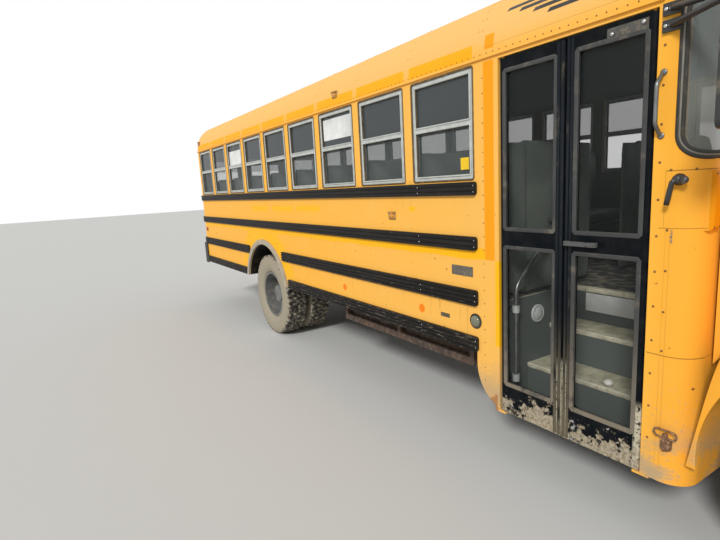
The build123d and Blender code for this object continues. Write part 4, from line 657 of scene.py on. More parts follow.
def domes(centres, normals, radius, height, sides=6):
    # Many small rivet heads: two rings and a crown on each centre, along its normal
    centres = np.asarray(centres, float).reshape(-1, 3)
    normals = np.broadcast_to(np.asarray(normals, float), centres.shape)
    axis, u, v = sideAxes(normals)
    rings = [(centres + axis * height * rise)[:, None] + radius * share * rounds(u, v, sides)
             for share, rise in ((1.0, 0.0), (0.8, 0.7))]
    crown = (centres + axis * height)[:, None]
    points = np.concatenate([*rings, crown], axis=1)
    one = np.array(gridFaces(2, sides, wrapColumns=True))
    top = np.array([[sides + i, sides + (i + 1) % sides, 2 * sides] for i in range(sides)])
    step = (np.arange(len(centres)) * (2 * sides + 1))[:, None, None]
    foot = (np.arange(sides)[::-1] + step[:, 0]).tolist()
    faces = (one + step).reshape(-1, 4).tolist() + (top + step).reshape(-1, 3).tolist() + foot
    return points.reshape(-1, 3), faces


def roundedLoop(low, high, radius, perCorner=6):
    # A rectangle with round corners as (u, v) points and their outward directions, in order round it
    (u0, v0), (u1, v1) = low, high
    angle = np.linspace(0, math.pi / 2, perCorner)
    points, outward = [], []
    for start, cu, cv in ((0, u1, v1), (1, u0, v1), (2, u0, v0), (3, u1, v0)):
        a = angle + start * math.pi / 2
        out = np.stack([np.cos(a), np.sin(a)], axis=1)
        corner = np.array([cu - radius if cu == u1 else cu + radius,
                           cv - radius if cv == v1 else cv + radius])
        points.append(corner + radius * out)
        outward.append(out)
    return np.concatenate(points), np.concatenate(outward)


def loopSweep(path, outward, faceNormal, section):
    # A closed section carried round a closed path: path + u along outward + v along the face's normal
    path, outward = np.asarray(path, float), np.asarray(outward, float)
    faceNormal = np.broadcast_to(np.asarray(faceNormal, float), path.shape)
    section = np.asarray(section, float)
    points = (path[:, None] + outward[:, None] * section[None, :, 0:1]
              + faceNormal[:, None] * section[None, :, 1:2])
    turned = np.cross(outward[0], faceNormal[0]) @ (path[1] - path[0])
    area = np.sum(section[:, 0] * np.roll(section[:, 1], -1) - np.roll(section[:, 0], -1) * section[:, 1])
    faces = gridFaces(len(path), len(section), True, True)
    if turned * area > 0:
        faces = [face[::-1] for face in faces]
    return points.reshape(-1, 3), faces


def sideLoop(x0, x1, z0, z1, radius, y, section, perCorner=6):
    # A swept frame on an upright side of the body, its normal away from the middle
    points, out = roundedLoop((x0, z0), (x1, z1), radius, perCorner)
    path = np.stack([points[:, 0], np.full(len(points), y), points[:, 1]], axis=1)
    outward = np.stack([out[:, 0], np.zeros(len(out)), out[:, 1]], axis=1)
    return loopSweep(path, outward, (0, math.copysign(1, y), 0), section)


def crossLoop(y0, y1, z0, z1, radius, x, way, section):
    # The same on an upright face across the body, its normal along X
    points, out = roundedLoop((y0, z0), (y1, z1), radius)
    path = np.stack([np.full(len(points), x), points[:, 0], points[:, 1]], axis=1)
    outward = np.stack([np.zeros(len(out)), out[:, 0], out[:, 1]], axis=1)
    return loopSweep(path, outward, (way, 0, 0), section)


def pillow(low, high, round=0.006):
    # A box with soft edges: a closed sphere grid pushed out to the box by the power rule
    low, high = np.asarray(low, float), np.asarray(high, float)
    half = (high - low) / 2
    u = np.linspace(-math.pi / 2, math.pi / 2, 13)[:, None]
    v = np.linspace(-math.pi, math.pi, 24, endpoint=False)[None, :]
    ball = np.stack([np.cos(u) * np.cos(v), np.cos(u) * np.sin(v), np.sin(u) * np.ones_like(v)], axis=-1)
    cube = ball / np.max(np.abs(ball), axis=-1, keepdims=True)
    inner = np.maximum(half - round, half * 0.4)
    core = cube * inner
    points = (low + high) / 2 + core + ball * (half - inner)
    return points.reshape(-1, 3), gridFaces(13, 24, wrapColumns=True)


def sidePad(side, seat, spanX, out, spanZ, round):
    # A soft-edged pad on one side of the bus, between two distances out from its seat
    y0, y1 = sorted((side * (seat + out[0]), side * (seat + out[1])))
    return pillow((spanX[0], y0, spanZ[0]), (spanX[1], y1, spanZ[1]), round)


def prism(section, start, end, u, v):
    # A closed section in the directions u and v, pushed from start to end, with both ends shut
    section = np.asarray(section, float)
    u, v = np.asarray(u, float), np.asarray(v, float)
    ring = section[:, 0:1] * u + section[:, 1:2] * v
    start, end = np.asarray(start, float), np.asarray(end, float)
    return np.concatenate([start + ring, end + ring]), rodFaces(2, len(section))


def tube(path, radius, sides=10):
    # A round section along a path of points, with shut ends
    path = np.asarray(path, float)
    along = np.gradient(path, axis=0)
    axis, u = sideAxes(along)[:2]
    for i in range(1, len(path)):
        u[i] = u[i - 1] - axis[i] * np.dot(u[i - 1], axis[i])
        u[i] /= np.linalg.norm(u[i])
    rings = path[:, None] + radius * rounds(u, np.cross(axis, u), sides)
    return rings.reshape(-1, 3), rodFaces(len(path), sides)


roofShape = {"shoulder": 0.380, "springZ": 2.615, "sweepAngle": math.radians(76)}


def roofLine(side, share):
    # The roof's section at a share of the way from its eave to the middle: a shoulder arc, then the crown's
    shoulder, springZ, sweepAngle = roofShape.values()
    crown = (sideY - shoulder * (1 - math.cos(sweepAngle))) / math.cos(sweepAngle)
    crownZ = springZ + (shoulder - crown) * math.sin(sweepAngle)
    shoulderRun, crownRun = shoulder * sweepAngle, crown * (math.pi / 2 - sweepAngle)
    along = np.asarray(share, float) * (shoulderRun + crownRun)
    onShoulder = along < shoulderRun
    angle = np.where(onShoulder, along / shoulder, sweepAngle + (along - shoulderRun) / crown)
    radius = np.where(onShoulder, shoulder, crown)
    middleY = np.where(onShoulder, sideY - shoulder, 0.0)
    middleZ = np.where(onShoulder, springZ, crownZ)
    y = side * (middleY + radius * np.cos(angle))
    z = middleZ + radius * np.sin(angle)
    return y, z, side * np.cos(angle), np.sin(angle)


windscreen = {
    "sideX": 3.021, "low": 1.930, "high": 2.600, "corner": 0.090, "bodyCorner": 0.125,
    "wiperYs": (-0.95, 0.25),
    "rubber": [(-0.010, -0.010), (0.020, -0.004), (0.027, 0.001), (0.023, 0.007), (0.015, 0.009),
               (0.011, 0.005), (0.005, 0.005), (0.001, 0.009), (-0.006, 0.008), (-0.011, 0.001)],
    "bead": [(0.004, 0.003), (0.012, 0.003), (0.012, 0.0085), (0.008, 0.0100), (0.004, 0.0085)],
    "bar": [(-0.024, -0.006), (0.024, -0.006), (0.020, 0.008), (-0.020, 0.008)],
    "labelY": (-0.985, -0.905), "labelZ": (1.955, 2.063), "labelIn": (0.0255, 0.0235),
}


def frontSkin(s, side):
    # The body's skin unrolled: s runs forward from the side's end, round the corner and across the front
    radius = windscreen["bodyCorner"]
    angle = np.clip(s / radius, 0, math.pi / 2)
    x = cowlX - radius * (1 - np.sin(angle)) + np.minimum(s, 0)
    y = side * (sideY - radius * (1 - np.cos(angle)) - np.maximum(s - radius * math.pi / 2, 0))
    return x, y, np.sin(angle), side * np.cos(angle)


print("helpers ready")

# Rivets and screws
rivets = {
    # name: finish, radius, height
    "kinds": {"rivets": ("yellow", 0.0075, 0.0028), "drip_rivets": ("rivetDark", 0.0050, 0.0018)},
    "dripSpacing": 0.050, "dripZ": 2.611, "bowSpacing": 0.075 / 1.4, "bowHalf": 0.016,
    "panelSpacing": 0.10,
    "panels": [(1.525, 1.76), (1.165, 1.40), (0.845, 1.03)], "clearOfAxle": 0.72,
    "postSpacing": 0.088, "post": (0.54, 2.56), "postX": lastWindowX + 0.080,
}


def makeRivets():
    groups = {name: [] for name in rivets["kinds"]}

    def row(group, x, y, z, ny, nz=0.0):
        points = np.stack(np.broadcast_arrays(x, y, z), axis=-1)
        groups[group].append((points, np.stack(np.broadcast_arrays(0.0 * points[:, 0], ny, nz), axis=-1)))

    bows = [lastWindowX + 0.053 - i * windowPitch for i in range(windowCount + 1)]
    for side in (-1, 1):
        row("drip_rivets", np.arange(bodyRearX + 0.16, cowlX - 0.20, rivets["dripSpacing"]), side * sideY,
            rivets["dripZ"], side)
        # Across the roof at each bow, a pair of rows, left off where the crown is highest
        for bowX in bows:
            y, z, ny, nz = roofLine(side, np.arange(0.10, 0.90, rivets["bowSpacing"]))
            for offset in (-rivets["bowHalf"], rivets["bowHalf"]):
                row("rivets", bowX + offset, y, z, ny, nz)
        # Down the sides between the rails at each bow
        for bowX in bows[1:]:
            for low, high in rivets["panels"]:
                if abs(bowX - rearAxleX) >= rivets["clearOfAxle"] or high > 1.1:
                    row("rivets", bowX, side * sideY, np.arange(low, high, rivets["panelSpacing"]), side)
        # The post before the entrance, and the same place on the left
        postZ = np.arange(*rivets["post"], rivets["postSpacing"])
        row("drip_rivets", rivets["postX"], side * sideY, postZ, side)
    for name, (finish, radius, height) in rivets["kinds"].items():
        points, normals = (np.concatenate(part) for part in zip(*groups[name]))
        makePiece(name, [domes(points, normals, radius, height)], finish, "vehicle")


# Screws: x and z beside the front door post and on the corner panel, then y and z on the cowl's face
screwX = doorFrontX + 0.029
screws = {
    "side": [(screwX, 2.398 - 0.1655 * i) for i in range(12)]
            + [(2.983, 1.413), (2.983, 1.220), (2.984, 1.032), (2.986, 1.866), (2.982, 1.600)],
    "face": [(y, z) for y in (1.095, 1.143) for z in (1.612, 1.841)],
    "cornerRun": 0.090, "cornerZ": 1.865, "radius": 0.0062, "faceRadius": 0.005, "height": 0.003,
}


def makeScrews():
    side = [(x, y, z) for x, z in screws["side"] for y in (-sideY, sideY)]
    normals = [(0, math.copysign(1, point[1]), 0) for point in side]
    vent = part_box("cowl")[1].x
    face = [(vent, way * y, z) for way in (-1, 1) for y, z in screws["face"]]
    # One screw on the corner, turned out along the skin
    x, y, nx, ny = (float(value[0]) for value in frontSkin(np.array([screws["cornerRun"]]), -1))
    radius, height = screws["radius"], screws["height"]
    shells = [domes(side, normals, radius, height, 8),
              domes(face, (1, 0, 0), screws["faceRadius"], height, 8),
              domes([(x, y, screws["cornerZ"])], (nx, ny, 0), radius, height, 8)]
    makePiece("screws", shells, "screwRust", "vehicle")


makeRivets()
makeScrews()
print("rivets and screws placed")

# Window gaskets and the lips of the sashes; the driver's window, on the left, has two panes side by side
windowTrim = {
    "gasket": [(-0.004, -0.006), (sash["gasket"], -0.006), (sash["gasket"] + 0.001, 0.001), (0.002, 0.003),
               (-0.004, 0.001)],
    "lip": [(-0.008, -0.002), (0.004, -0.002), (0.004, 0.004), (0.000, 0.0065), (-0.006, 0.005)],
    "inner": [(-0.006, -0.004), (0.006, -0.004), (0.006, 0.004), (-0.006, 0.003)], "innerIn": 0.003,
    "innerDeep": 0.010, "corner": 0.012, "paneCorner": 0.008, "driver": (doorRearX, doorRearX + 0.797),
    "rearY": (0.5, 1.02), "rearZ": (1.900, 2.450), "rearCorner": 0.03,
}


def makeWindowTrim():
    trim = windowTrim
    gaskets, lips = [], []
    faceY, bar, inside = sideY - sash["frameDepth"], sash["frameBar"], trim["innerIn"]
    for side in (-1, 1):
        spans = [(x, x + windowWidth) for x in windowRears] + [trim["driver"]] * (side == 1)
        for number, (x0, x1) in enumerate(spans):
            gaskets.append(sideLoop(x0 + 0.001, x1 - 0.001, beltZ + 0.001, headerZ - 0.001, trim["corner"],
                                    side * sideY, trim["gasket"], 4))
            panes = [(x0 + bar, x1 - bar, beltZ + bar, sash["railZ"] - bar / 2),
                     (x0 + bar, x1 - bar, sash["railZ"] + bar / 2, headerZ - bar)]
            if number == windowCount:
                middle = (x0 + x1) / 2
                panes = [(x0 + bar, middle - bar / 2, beltZ + bar, headerZ - bar),
                         (middle + bar / 2, x1 - bar, beltZ + bar, headerZ - bar)]
            for px0, px1, pz0, pz1 in panes:
                lips.append(sideLoop(px0, px1, pz0, pz1, trim["paneCorner"], side * faceY, trim["lip"], 4))
                gaskets.append(sideLoop(px0 + inside, px1 - inside, pz0 + inside, pz1 - inside,
                                        trim["paneCorner"], side * (faceY - trim["innerDeep"]),
                                        trim["inner"], 4))
    for side in (-1, 1):
        y0, y1 = sorted(side * y for y in trim["rearY"])
        gaskets.append(crossLoop(y0, y1, *trim["rearZ"], trim["rearCorner"], bodyRearX, -1, trim["gasket"]))
    makePiece("window_gaskets", gaskets, "gasketBrown", "vehicle")
    makePiece("sash_lips", lips, "aluminium", "vehicle")


makeWindowTrim()
print("windows trimmed")

# Blank signs, plates and stickers on the right side: finish, x and z spans, how far out, how thick
blanks = {
    "window_flag": ("flagYellow", (1.664, 1.740), (1.940, 2.018), -0.0205, 0.001),
    "sign_window_seven": ("signWhite", (windowRears[2] + 0.05, windowRears[2] + 0.545), (2.312, 2.502),
                          -0.0205, 0.001),
    "sign_window_three": ("signWhite", (windowRears[6] + 0.05, windowRears[6] + 0.545), (2.262, 2.452),
                          -0.0205, 0.001),
    "side_plate": ("plateGrey", (1.580, 1.780), (1.232, 1.300), 0.001, 0.002),
    "rail_sticker": ("plateDark", (1.452, 1.546), (0.905, 0.935), 0.001, 0.001),
}
for name, (finish, spanX, spanZ, out, thick) in blanks.items():
    shell = sidePad(-1, sideY, spanX, (out, out + thick), spanZ, 0.0006)
    makePiece(name, [shell], finish, "vehicle", smooth=False)

# Bright bolts at the rails' front ends, and again further back
railBolts = {"x": lastWindowX + 0.012, "back": (0.0, 0.56), "out": 0.0185, "radius": 0.0055, "height": 0.005,
             "heights": [1.795, 1.835, 1.438, 1.480, 1.072, 1.112, 0.752, 0.798]}
boltPlaces = [(railBolts["x"] - back, side * (sideY + railBolts["out"]), z)
              for side in (-1, 1) for z in railBolts["heights"] for back in railBolts["back"]]
boltNormals = [(0, math.copysign(1, place[1]), 0) for place in boltPlaces]
boltHeads = domes(boltPlaces, boltNormals, railBolts["radius"], railBolts["height"], 8)
makePiece("rail_bolts", [boltHeads], "bareSteel", "vehicle")
print("blank signs and rail bolts placed")

# Tyres: a section carried round the wheel's axis, its tread raised in lugs, staggered across it
tyre = {
    "pitches": 46, "width": 0.280, "lugShares": [0.0, 0.07, 0.56, 0.63],
    # across from the middle (as a share of half the width), radius, lug height, how much wall
    "section": [(0.70, 0.298, 0, 1), (0.80, 0.306, 0, 1), (0.90, 0.330, 0, 1), (0.905, 0.336, 0, 1),
                (0.955, 0.352, 0, 1), (0.985, 0.380, 0, 1), (0.997, 0.410, 0, 1), (0.985, 0.440, 0, 1),
                (0.965, 0.462, 0, 1), (0.950, 0.470, 0.006, 0.8), (0.915, 0.490, 0.010, 0.6),
                (0.875, 0.500, 0.018, 0.4), (0.80, 0.5035, 0.0195, 0.25), (0.55, 0.5045, 0.0200, 0.2),
                (0.52, 0.5050, 0.0, 0.3), (0.40, 0.5050, 0.0, 0.3), (0.37, 0.5050, 0.0198, 0.2),
                (0.08, 0.5052, 0.0198, 0.2), (0.05, 0.5055, 0.0, 0.3)],
    # node and body: x and each tyre's distance from the middle
    "places": {"front_tyre": ("wheel_front", frontAxleX, [0.999]),
               "rear_tyres": ("wheel_rear", rearAxleX, [1.039, 0.709])},
}


def tyreShape(centre):
    # centre + radius (cos a, sin a) in the wheel's plane and the section's width across, a lug every pitch
    half = np.array(tyre["section"])
    full = np.concatenate([half, half[::-1] * [-1, 1, 1, 1]])
    pitches = tyre["pitches"]
    share = (np.arange(pitches)[:, None] + np.array(tyre["lugShares"])[None, :]).ravel() / pitches
    raised = np.tile([0.0, 1.0, 1.0, 0.0], pitches)
    # The left half is half a pitch on, and the middle rows a quarter
    turn = np.where(full[:, 0] < 0, 0.5, 0.0) + np.where(np.abs(full[:, 0]) < 0.39, 0.25, 0.0)
    turn = turn / pitches
    angle = 2 * math.pi * (share[None, :] + turn[:, None])
    radius = full[:, 1:2] + full[:, 2:3] * raised[None, :]
    y = centre[1] + full[:, 0:1] * tyre["width"] / 2 + 0 * angle
    points = np.stack([centre[0] + radius * np.cos(angle), y, centre[2] + radius * np.sin(angle)], axis=-1)
    faces = gridFaces(len(full), len(share), True, True)
    wall = np.repeat(full[:, 3], len(share))
    return points.reshape(-1, 3), faces, wall


def makeTyres():
    for node, (wheel, x, distances) in tyre["places"].items():
        for side, sideName in ((1, "left"), (-1, "right")):
            shapes = [tyreShape((x, side * away, tyreRadius)) for away in distances]
            piece = makePiece(f"tread_{node}_{sideName}", [shape[:2] for shape in shapes], "tyreRubber",
                              f"{wheel}_{sideName}")
            wall = piece.data.attributes.new("wall", "FLOAT", "POINT")
            wall.data.foreach_set("value", np.concatenate([shape[2] for shape in shapes]))
            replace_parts(piece, f"{node}_{sideName}")


makeTyres()

# Wheel nuts on each disc, whose face is at this distance from the middle
nuts = {"count": 10, "circle": 0.143, "radius": 0.019, "height": 0.026, "front": 1.013, "rear": 0.905}


def makeNuts():
    radius, circle = nuts["radius"], nuts["circle"]
    profile = [(radius, -0.004), (radius, 0.014), (radius * 0.72, 0.017), (radius * 0.6, nuts["height"]),
               (0, nuts["height"])]
    angles = np.linspace(0, 2 * math.pi, nuts["count"], endpoint=False)
    offsets = [(circle * math.cos(angle), circle * math.sin(angle)) for angle in angles]
    for side, sideName in ((1, "left"), (-1, "right")):
        for end, x in (("front", frontAxleX), ("rear", rearAxleX)):
            shells = [lathe(profile, (x + along, side * nuts[end], tyreRadius + up), (0, side, 0), 6)
                      for along, up in offsets]
            makePiece(f"nuts_{end}_{sideName}", shells, "rimGrey", f"wheel_{end}_{sideName}",
                      smooth=False)


makeNuts()
print("wheels dressed")

# Lamps: domed lenses on round bases
lamps = {
    # x, z, radius of the lens, depth, finish, on both sides: the first has a rubber ring, the others a base
    "sides": [(lastWindowX + 0.001, 0.934, 0.045, 0.022, "lampGrey"),
              (lastWindowX - 0.894, 1.625, 0.028, 0.022, "amberLens"),
              (lastWindowX - 1.704, 2.693, 0.026, 0.022, "amberLens"),
              (bodyRearX + 0.224, 1.290, 0.028, 0.022, "redLens"),
              (bodyRearX + 0.194, 2.714, 0.026, 0.022, "redLens")],
    # How far in from the side, and finish, of the large lamps over the windscreen and the rear window
    "heads": [(0.749, "amberLens"), (0.419, "redLens")], "headZ": 2.750, "headRadius": 0.083,
    # The same for the lamps on the rear wall
    "rears": [(0.439, "redLens"), (0.219, "amberLens")], "rearZ": 1.330, "rearRadius": 0.082,
    "smallYs": (-0.15, 0.0, 0.15), "smallZ": 2.810, "smallRadius": 0.024,
    "baseHalf": (0.046, 0.033), "hoodRadius": 0.106, "hoodWall": 0.003, "hoodDepth": 0.058, "hoodTurns": 24,
    # name, node that it replaces and slot of each colour's piece
    "pieces": {"amberLens": ("domed_amber_lenses", "lenses_amber", "amber_lens"),
               "redLens": ("domed_red_lenses", "lenses_red", "red_lens"),
               "lampGrey": ("entrance_lamps", "lenses_amber", "amber_lens")},
}


def domeProfile(radius, depth, lip=0.12):
    # A flat skirt, a rounded edge and a crown that closes at the middle
    angle = np.linspace(0, math.pi / 2, 7)
    rows = [(radius * (1 + lip), -0.001), (radius * (1 + lip), depth * 0.22), (radius * 1.02, depth * 0.26)]
    rows += [(radius * math.cos(a), depth * (0.30 + 0.70 * math.sin(a))) for a in angle]
    rows[-1] = (0.0, depth)
    return rows


def sideSeat(z):
    # How far the body reaches sideways at a height: its flat side, or the roof's shoulder above it
    shoulder, springZ = roofShape["shoulder"], roofShape["springZ"]
    return sideY if z < 2.6 else sideY - shoulder + math.sqrt(shoulder ** 2 - (z - springZ) ** 2)


def makeLenses():
    shapes = {finish: [] for finish in lamps["pieces"]}
    for side in (-1, 1):
        for x, z, radius, depth, finish in lamps["sides"]:
            place = (x, side * sideSeat(z), z)
            shapes[finish].append(lathe(domeProfile(radius * 0.88, depth), place, (0, side, 0), 20))
        for inset, finish in lamps["heads"]:
            for way, x in ((1, cowlX + 0.040), (-1, bodyRearX - 0.040)):
                place = (x, side * (sideY - inset), lamps["headZ"])
                profile = domeProfile(lamps["headRadius"] * 0.9, 0.026, 0.1)
                shapes[finish].append(lathe(profile, place, (way, 0, 0)))
        for inset, finish in lamps["rears"]:
            place = (bodyRearX - 0.015, side * (sideY - inset), lamps["rearZ"])
            profile = domeProfile(lamps["rearRadius"] * 0.9, 0.025, 0.1)
            shapes[finish].append(lathe(profile, place, (-1, 0, 0)))
    for y in lamps["smallYs"]:
        for way, x, finish in ((1, cowlX, "amberLens"), (-1, bodyRearX, "redLens")):
            profile = domeProfile(lamps["smallRadius"] * 0.88, 0.022)
            shapes[finish].append(lathe(profile, (x, y, lamps["smallZ"]), (way, 0, 0), 16))
    for finish, (name, nodeName, slotName) in lamps["pieces"].items():
        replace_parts(makePiece(name, shapes[finish], finish, "vehicle"), nodeName)


def makeLampBases():
    bases, rings = [], []
    wide, tall = lamps["baseHalf"]
    for side in (-1, 1):
        for x, z in (lamp[:2] for lamp in lamps["sides"][1:]):
            seat = sideY if z < 2.6 else sideY - 0.008
            bases.append(sidePad(side, seat, (x - wide, x + wide), (-0.004, 0.008),
                                 (z - tall, z + tall), 0.004))
            bases.append(sidePad(side, seat, (x - wide * 0.94, x + wide * 0.94), (0.002, 0.021),
                                 (z + tall * 0.55, z + tall), 0.006))
        x, z, radius = lamps["sides"][0][:3]
        ring = [(radius * 0.96, -0.002), (radius * 1.16, -0.002), (radius * 1.16, 0.004),
                (radius * 1.08, 0.008), (radius * 0.96, 0.007), (0, 0.007)]
        rings.append(lathe(ring, (x, side * sideY, z), (0, side, 0), 28))
    makePiece("marker_bases", bases, "markerBrown", "vehicle")
    makePiece("lamp_rings", rings, "sealRubber", "vehicle")


def makeLampHoods():
    # A half ring above each head lamp: angle by depth, with a thin wall
    hoods = []
    turns = lamps["hoodTurns"]
    angle = np.linspace(math.radians(10), math.radians(170), turns)
    depth = lamps["hoodDepth"] * np.array([[0.0], [1.0], [1.0], [0.0]])
    ring = lamps["hoodRadius"] - lamps["hoodWall"] * np.array([[0.0], [0.0], [1.0], [1.0]])
    for side in (-1, 1):
        for inset in (head[0] for head in lamps["heads"]):
            for way, x in ((1, cowlX), (-1, bodyRearX)):
                y = side * (sideY - inset) + ring * np.cos(angle)
                z = lamps["headZ"] + ring * np.sin(angle)
                points = np.stack([x + way * depth + 0 * y, y, z], axis=-1).reshape(-1, 3)
                hoods.append((points, slabFaces(4, turns)))
    makePiece("lamp_hoods", hoods, "blackEnamel", "vehicle", smooth=False)


makeLenses()
makeLampBases()
makeLampHoods()
print("lamps placed")

# Entrance: metal channels round the glass, rubber at the closing edges, the plate over the front leaf
entrance = {
    "lights": [(0.570, 1.453), (1.567, 2.480)], "leafY": -1.217, "channel": 0.020, "dotSpacing": 0.016,
    "leaves": {"rear": (2.050, 2.394), "front": (2.517, 2.861)},
    "seals": {"rear": (2.402, 2.449), "front": (2.463, 2.502)}, "sealHeights": (0.385, 2.545),
    "sealSplit": 0.002, "sealOut": 0.009,
    "plateX": (2.673, 2.866), "plateZ": (2.486, 2.534), "plateThick": 0.005,
    "plateBolts": [(2.700, 2.504), (2.845, 2.518)],
}


def makeEntranceTrim():
    y = entrance["leafY"]
    wide = entrance["channel"] / 2
    section = [(-wide, -0.012), (wide + 0.003, -0.001), (wide + 0.003, 0.0022), (wide - 0.002, 0.0035),
               (-wide + 0.004, 0.0035), (-wide, 0.0015)]
    low, high = entrance["sealHeights"]
    for leaf, (x0, x1) in entrance["leaves"].items():
        body = f"entrance_{leaf}_leaf"
        channels = [sideLoop(x0, x1, z0, z1, 0.004, y, section, 2) for z0, z1 in entrance["lights"]]
        makePiece(f"glass_channel_{leaf}", channels, "darkAluminium", body, smooth=False)
        dotX = np.arange(x0 + 0.02, x1 - 0.015, entrance["dotSpacing"])
        dots = [np.stack([dotX, np.full_like(dotX, y - 0.0034), np.full_like(dotX, z1 + 0.001)], 1)
                for z0, z1 in entrance["lights"]]
        dots = domes(np.concatenate(dots), (0, -1, 0), 0.0035, 0.0012)
        makePiece(f"channel_rivets_{leaf}", [dots], "blackEnamel", body)
        # Two upright rubber bulges, each a half round: cos t across by sin t outwards
        s0, s1 = entrance["seals"][leaf]
        middle, split = (s0 + s1) / 2, entrance["sealSplit"]
        seals = []
        for a, b in ((s0, middle - split), (middle + split, s1)):
            half = (b - a) / 2
            bulge = [(a + half + half * math.cos(t), y + 0.002 - entrance["sealOut"] * math.sin(t))
                     for t in np.linspace(0, math.pi, 9)]
            seals.append(prism(bulge, (0, 0, low), (0, 0, high), (1, 0, 0), (0, 1, 0)))
        makePiece(f"closing_rubber_{leaf}", seals, "sealRubber", body)
    (x0, x1), (z0, z1), thick = entrance["plateX"], entrance["plateZ"], entrance["plateThick"]
    plate = pillow((x0, y - thick, z0), (x1, y, z1), 0.002)
    makePiece("leaf_plate", [plate], "plateSteel", "entrance_front_leaf", smooth=False)
    head = [(0.011, 0), (0.010, 0.006), (0.006, 0.009), (0, 0.010)]
    bolts = [lathe(head, (x, y - thick, z), (0, -1, 0), 10) for x, z in entrance["plateBolts"]]
    makePiece("leaf_plate_bolts", bolts, "bareSteel", "entrance_front_leaf")


makeEntranceTrim()
print("entrance trimmed")

# Steps: worn nosings, a blank sign on a riser, a round lamp, a knob, and collars on the rail
steps = {
    "x": (2.008, 2.900), "edges": [(-0.942, 0.632), (-0.710, 0.863), (-0.478, 1.095)],  # y and z of each edge
    "signX": (2.120, 2.600), "signY": (-0.4815, -0.479), "signZ": (0.935, 1.060),
    "lamp": (2.003, -0.850, 0.960), "knob": (2.565, -0.925, 0.633), "knobLean": (0, -0.25, 1),
    "railFoot": (doorRearX + 0.045, -sideY + 0.105),
    "collars": (0.562, 1.022), "collarHeight": 0.046, "collarRadius": 0.023,
}


def makeSteps():
    x0, x1 = steps["x"]
    section = [(0.005, -0.028), (-0.006, -0.028), (-0.010, -0.020), (-0.012, -0.002), (-0.008, 0.004),
               (0.040, 0.003), (0.042, 0.0)]
    nosings = [prism(section, (x0, y, z), (x1, y, z), (0, 1, 0), (0, 0, 1)) for y, z in steps["edges"]]
    makePiece("step_nosings", nosings, "nosing", "vehicle", smooth=False)
    sign = pillow(*zip(steps["signX"], steps["signY"], steps["signZ"]), 0.001)
    makePiece("step_sign", [sign], "signWhite", "vehicle", smooth=False)
    ring = [(0.062, 0.0), (0.062, 0.010), (0.054, 0.014), (0.050, 0.010), (0.048, 0.008), (0.040, 0.016),
            (0.020, 0.021), (0, 0.022)]
    makePiece("step_lamp", [lathe(ring, steps["lamp"], (1, 0, 0), 28)], "clearLens", "vehicle")
    knob = [(0.017, -0.002), (0.017, 0.018), (0.024, 0.023), (0.027, 0.034), (0.022, 0.045), (0.010, 0.050),
            (0, 0.050)]
    makePiece("step_knob", [lathe(knob, steps["knob"], steps["knobLean"], 20)], "knobCream", "vehicle")
    foot = steps["railFoot"]
    collars = [tube([(*foot, z), (*foot, z + steps["collarHeight"])], steps["collarRadius"], 20)
               for z in steps["collars"]]
    makePiece("rail_collars", collars, "aluminium", "vehicle", smooth=False)


makeSteps()
print("steps dressed")

# Latch loops, release handle, mirror faces and bolts
fittings = {
    "latchX": (2.972, 3.084), "latchZ": (0.613, 0.661), "latchOut": 0.020, "wire": 0.0048,
    "releaseX": 3.025, "releaseZ": 1.824,
    "mirrorX": (3.2835, 3.2862), "mirrorY": (1.398, 1.562), "mirrorZ": (2.010, 2.350),
    "mirrorBoltX": (2.943, 2.963), "mirrorBoltZ": (2.470, 2.537), "pullZ": (2.2855, 2.0175),
}


def makeLatches():
    # A wire loop, a plate on the panel, the tongue that joins them and a bolt
    shells = []
    (x0, x1), (z0, z1) = fittings["latchX"], fittings["latchZ"]
    out, wire = fittings["latchOut"], fittings["wire"]
    turn = np.linspace(0, 2 * math.pi, 10, endpoint=False)
    section = np.stack([wire * np.cos(turn), wire * np.sin(turn)], axis=1)
    bolt = [(0.010, 0), (0.010, 0.006), (0.004, 0.009), (0, 0.009)]
    for side in (-1, 1):
        shells.append(sideLoop(x0 + wire, x1 - wire, z0 + wire, z1 - wire, (z1 - z0) / 2 - wire,
                               side * (sideY + out), section, 8))
        shells.append(sidePad(side, sideY, (3.006, 3.048), (-0.030, out), (0.548, 0.606), 0.006))
        shells.append(sidePad(side, sideY, (3.014, 3.040), (0.006, 0.028), (0.566, 0.640), 0.008))
        shells.append(lathe(bolt, (3.027, side * (sideY + out), 0.560), (0, side, 0), 8))
    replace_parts(makePiece("latch_loops", shells, "latchRust", "vehicle"), "hood_latches")


def makeRelease():
    # A boss on the skin, a knob beside it, a web between them and the lever that hangs from it
    x, z = fittings["releaseX"], fittings["releaseZ"]
    bossShape = [(0.026, -0.002), (0.026, 0.010), (0.020, 0.014), (0.019, 0.034), (0.012, 0.040), (0, 0.041)]
    knobShape = [(0.008, 0.010), (0.013, 0.020), (0.017, 0.030), (0.017, 0.038), (0.011, 0.044), (0, 0.045)]
    boss = lathe(bossShape, (x, -sideY, z), (0, -1, 0), 20)
    knob = lathe(knobShape, (x + 0.027, -sideY, z - 0.002), (0.15, -1, 0), 18)
    web = pillow((x - 0.004, -sideY - 0.030, z - 0.010), (x + 0.030, -sideY - 0.014, z + 0.008), 0.006)
    lever = tube([(x - 0.002, -sideY - 0.030, z + 0.004), (x - 0.016, -sideY - 0.036, z - 0.012),
                  (x - 0.022, -sideY - 0.038, z - 0.045), (x - 0.028, -sideY - 0.038, z - 0.080),
                  (x - 0.035, -sideY - 0.036, z - 0.108)], 0.0115, 12)
    handle = makePiece("release_handle", [boss, knob, web, lever], "blackEnamel", "vehicle")
    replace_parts(handle, "door_release")


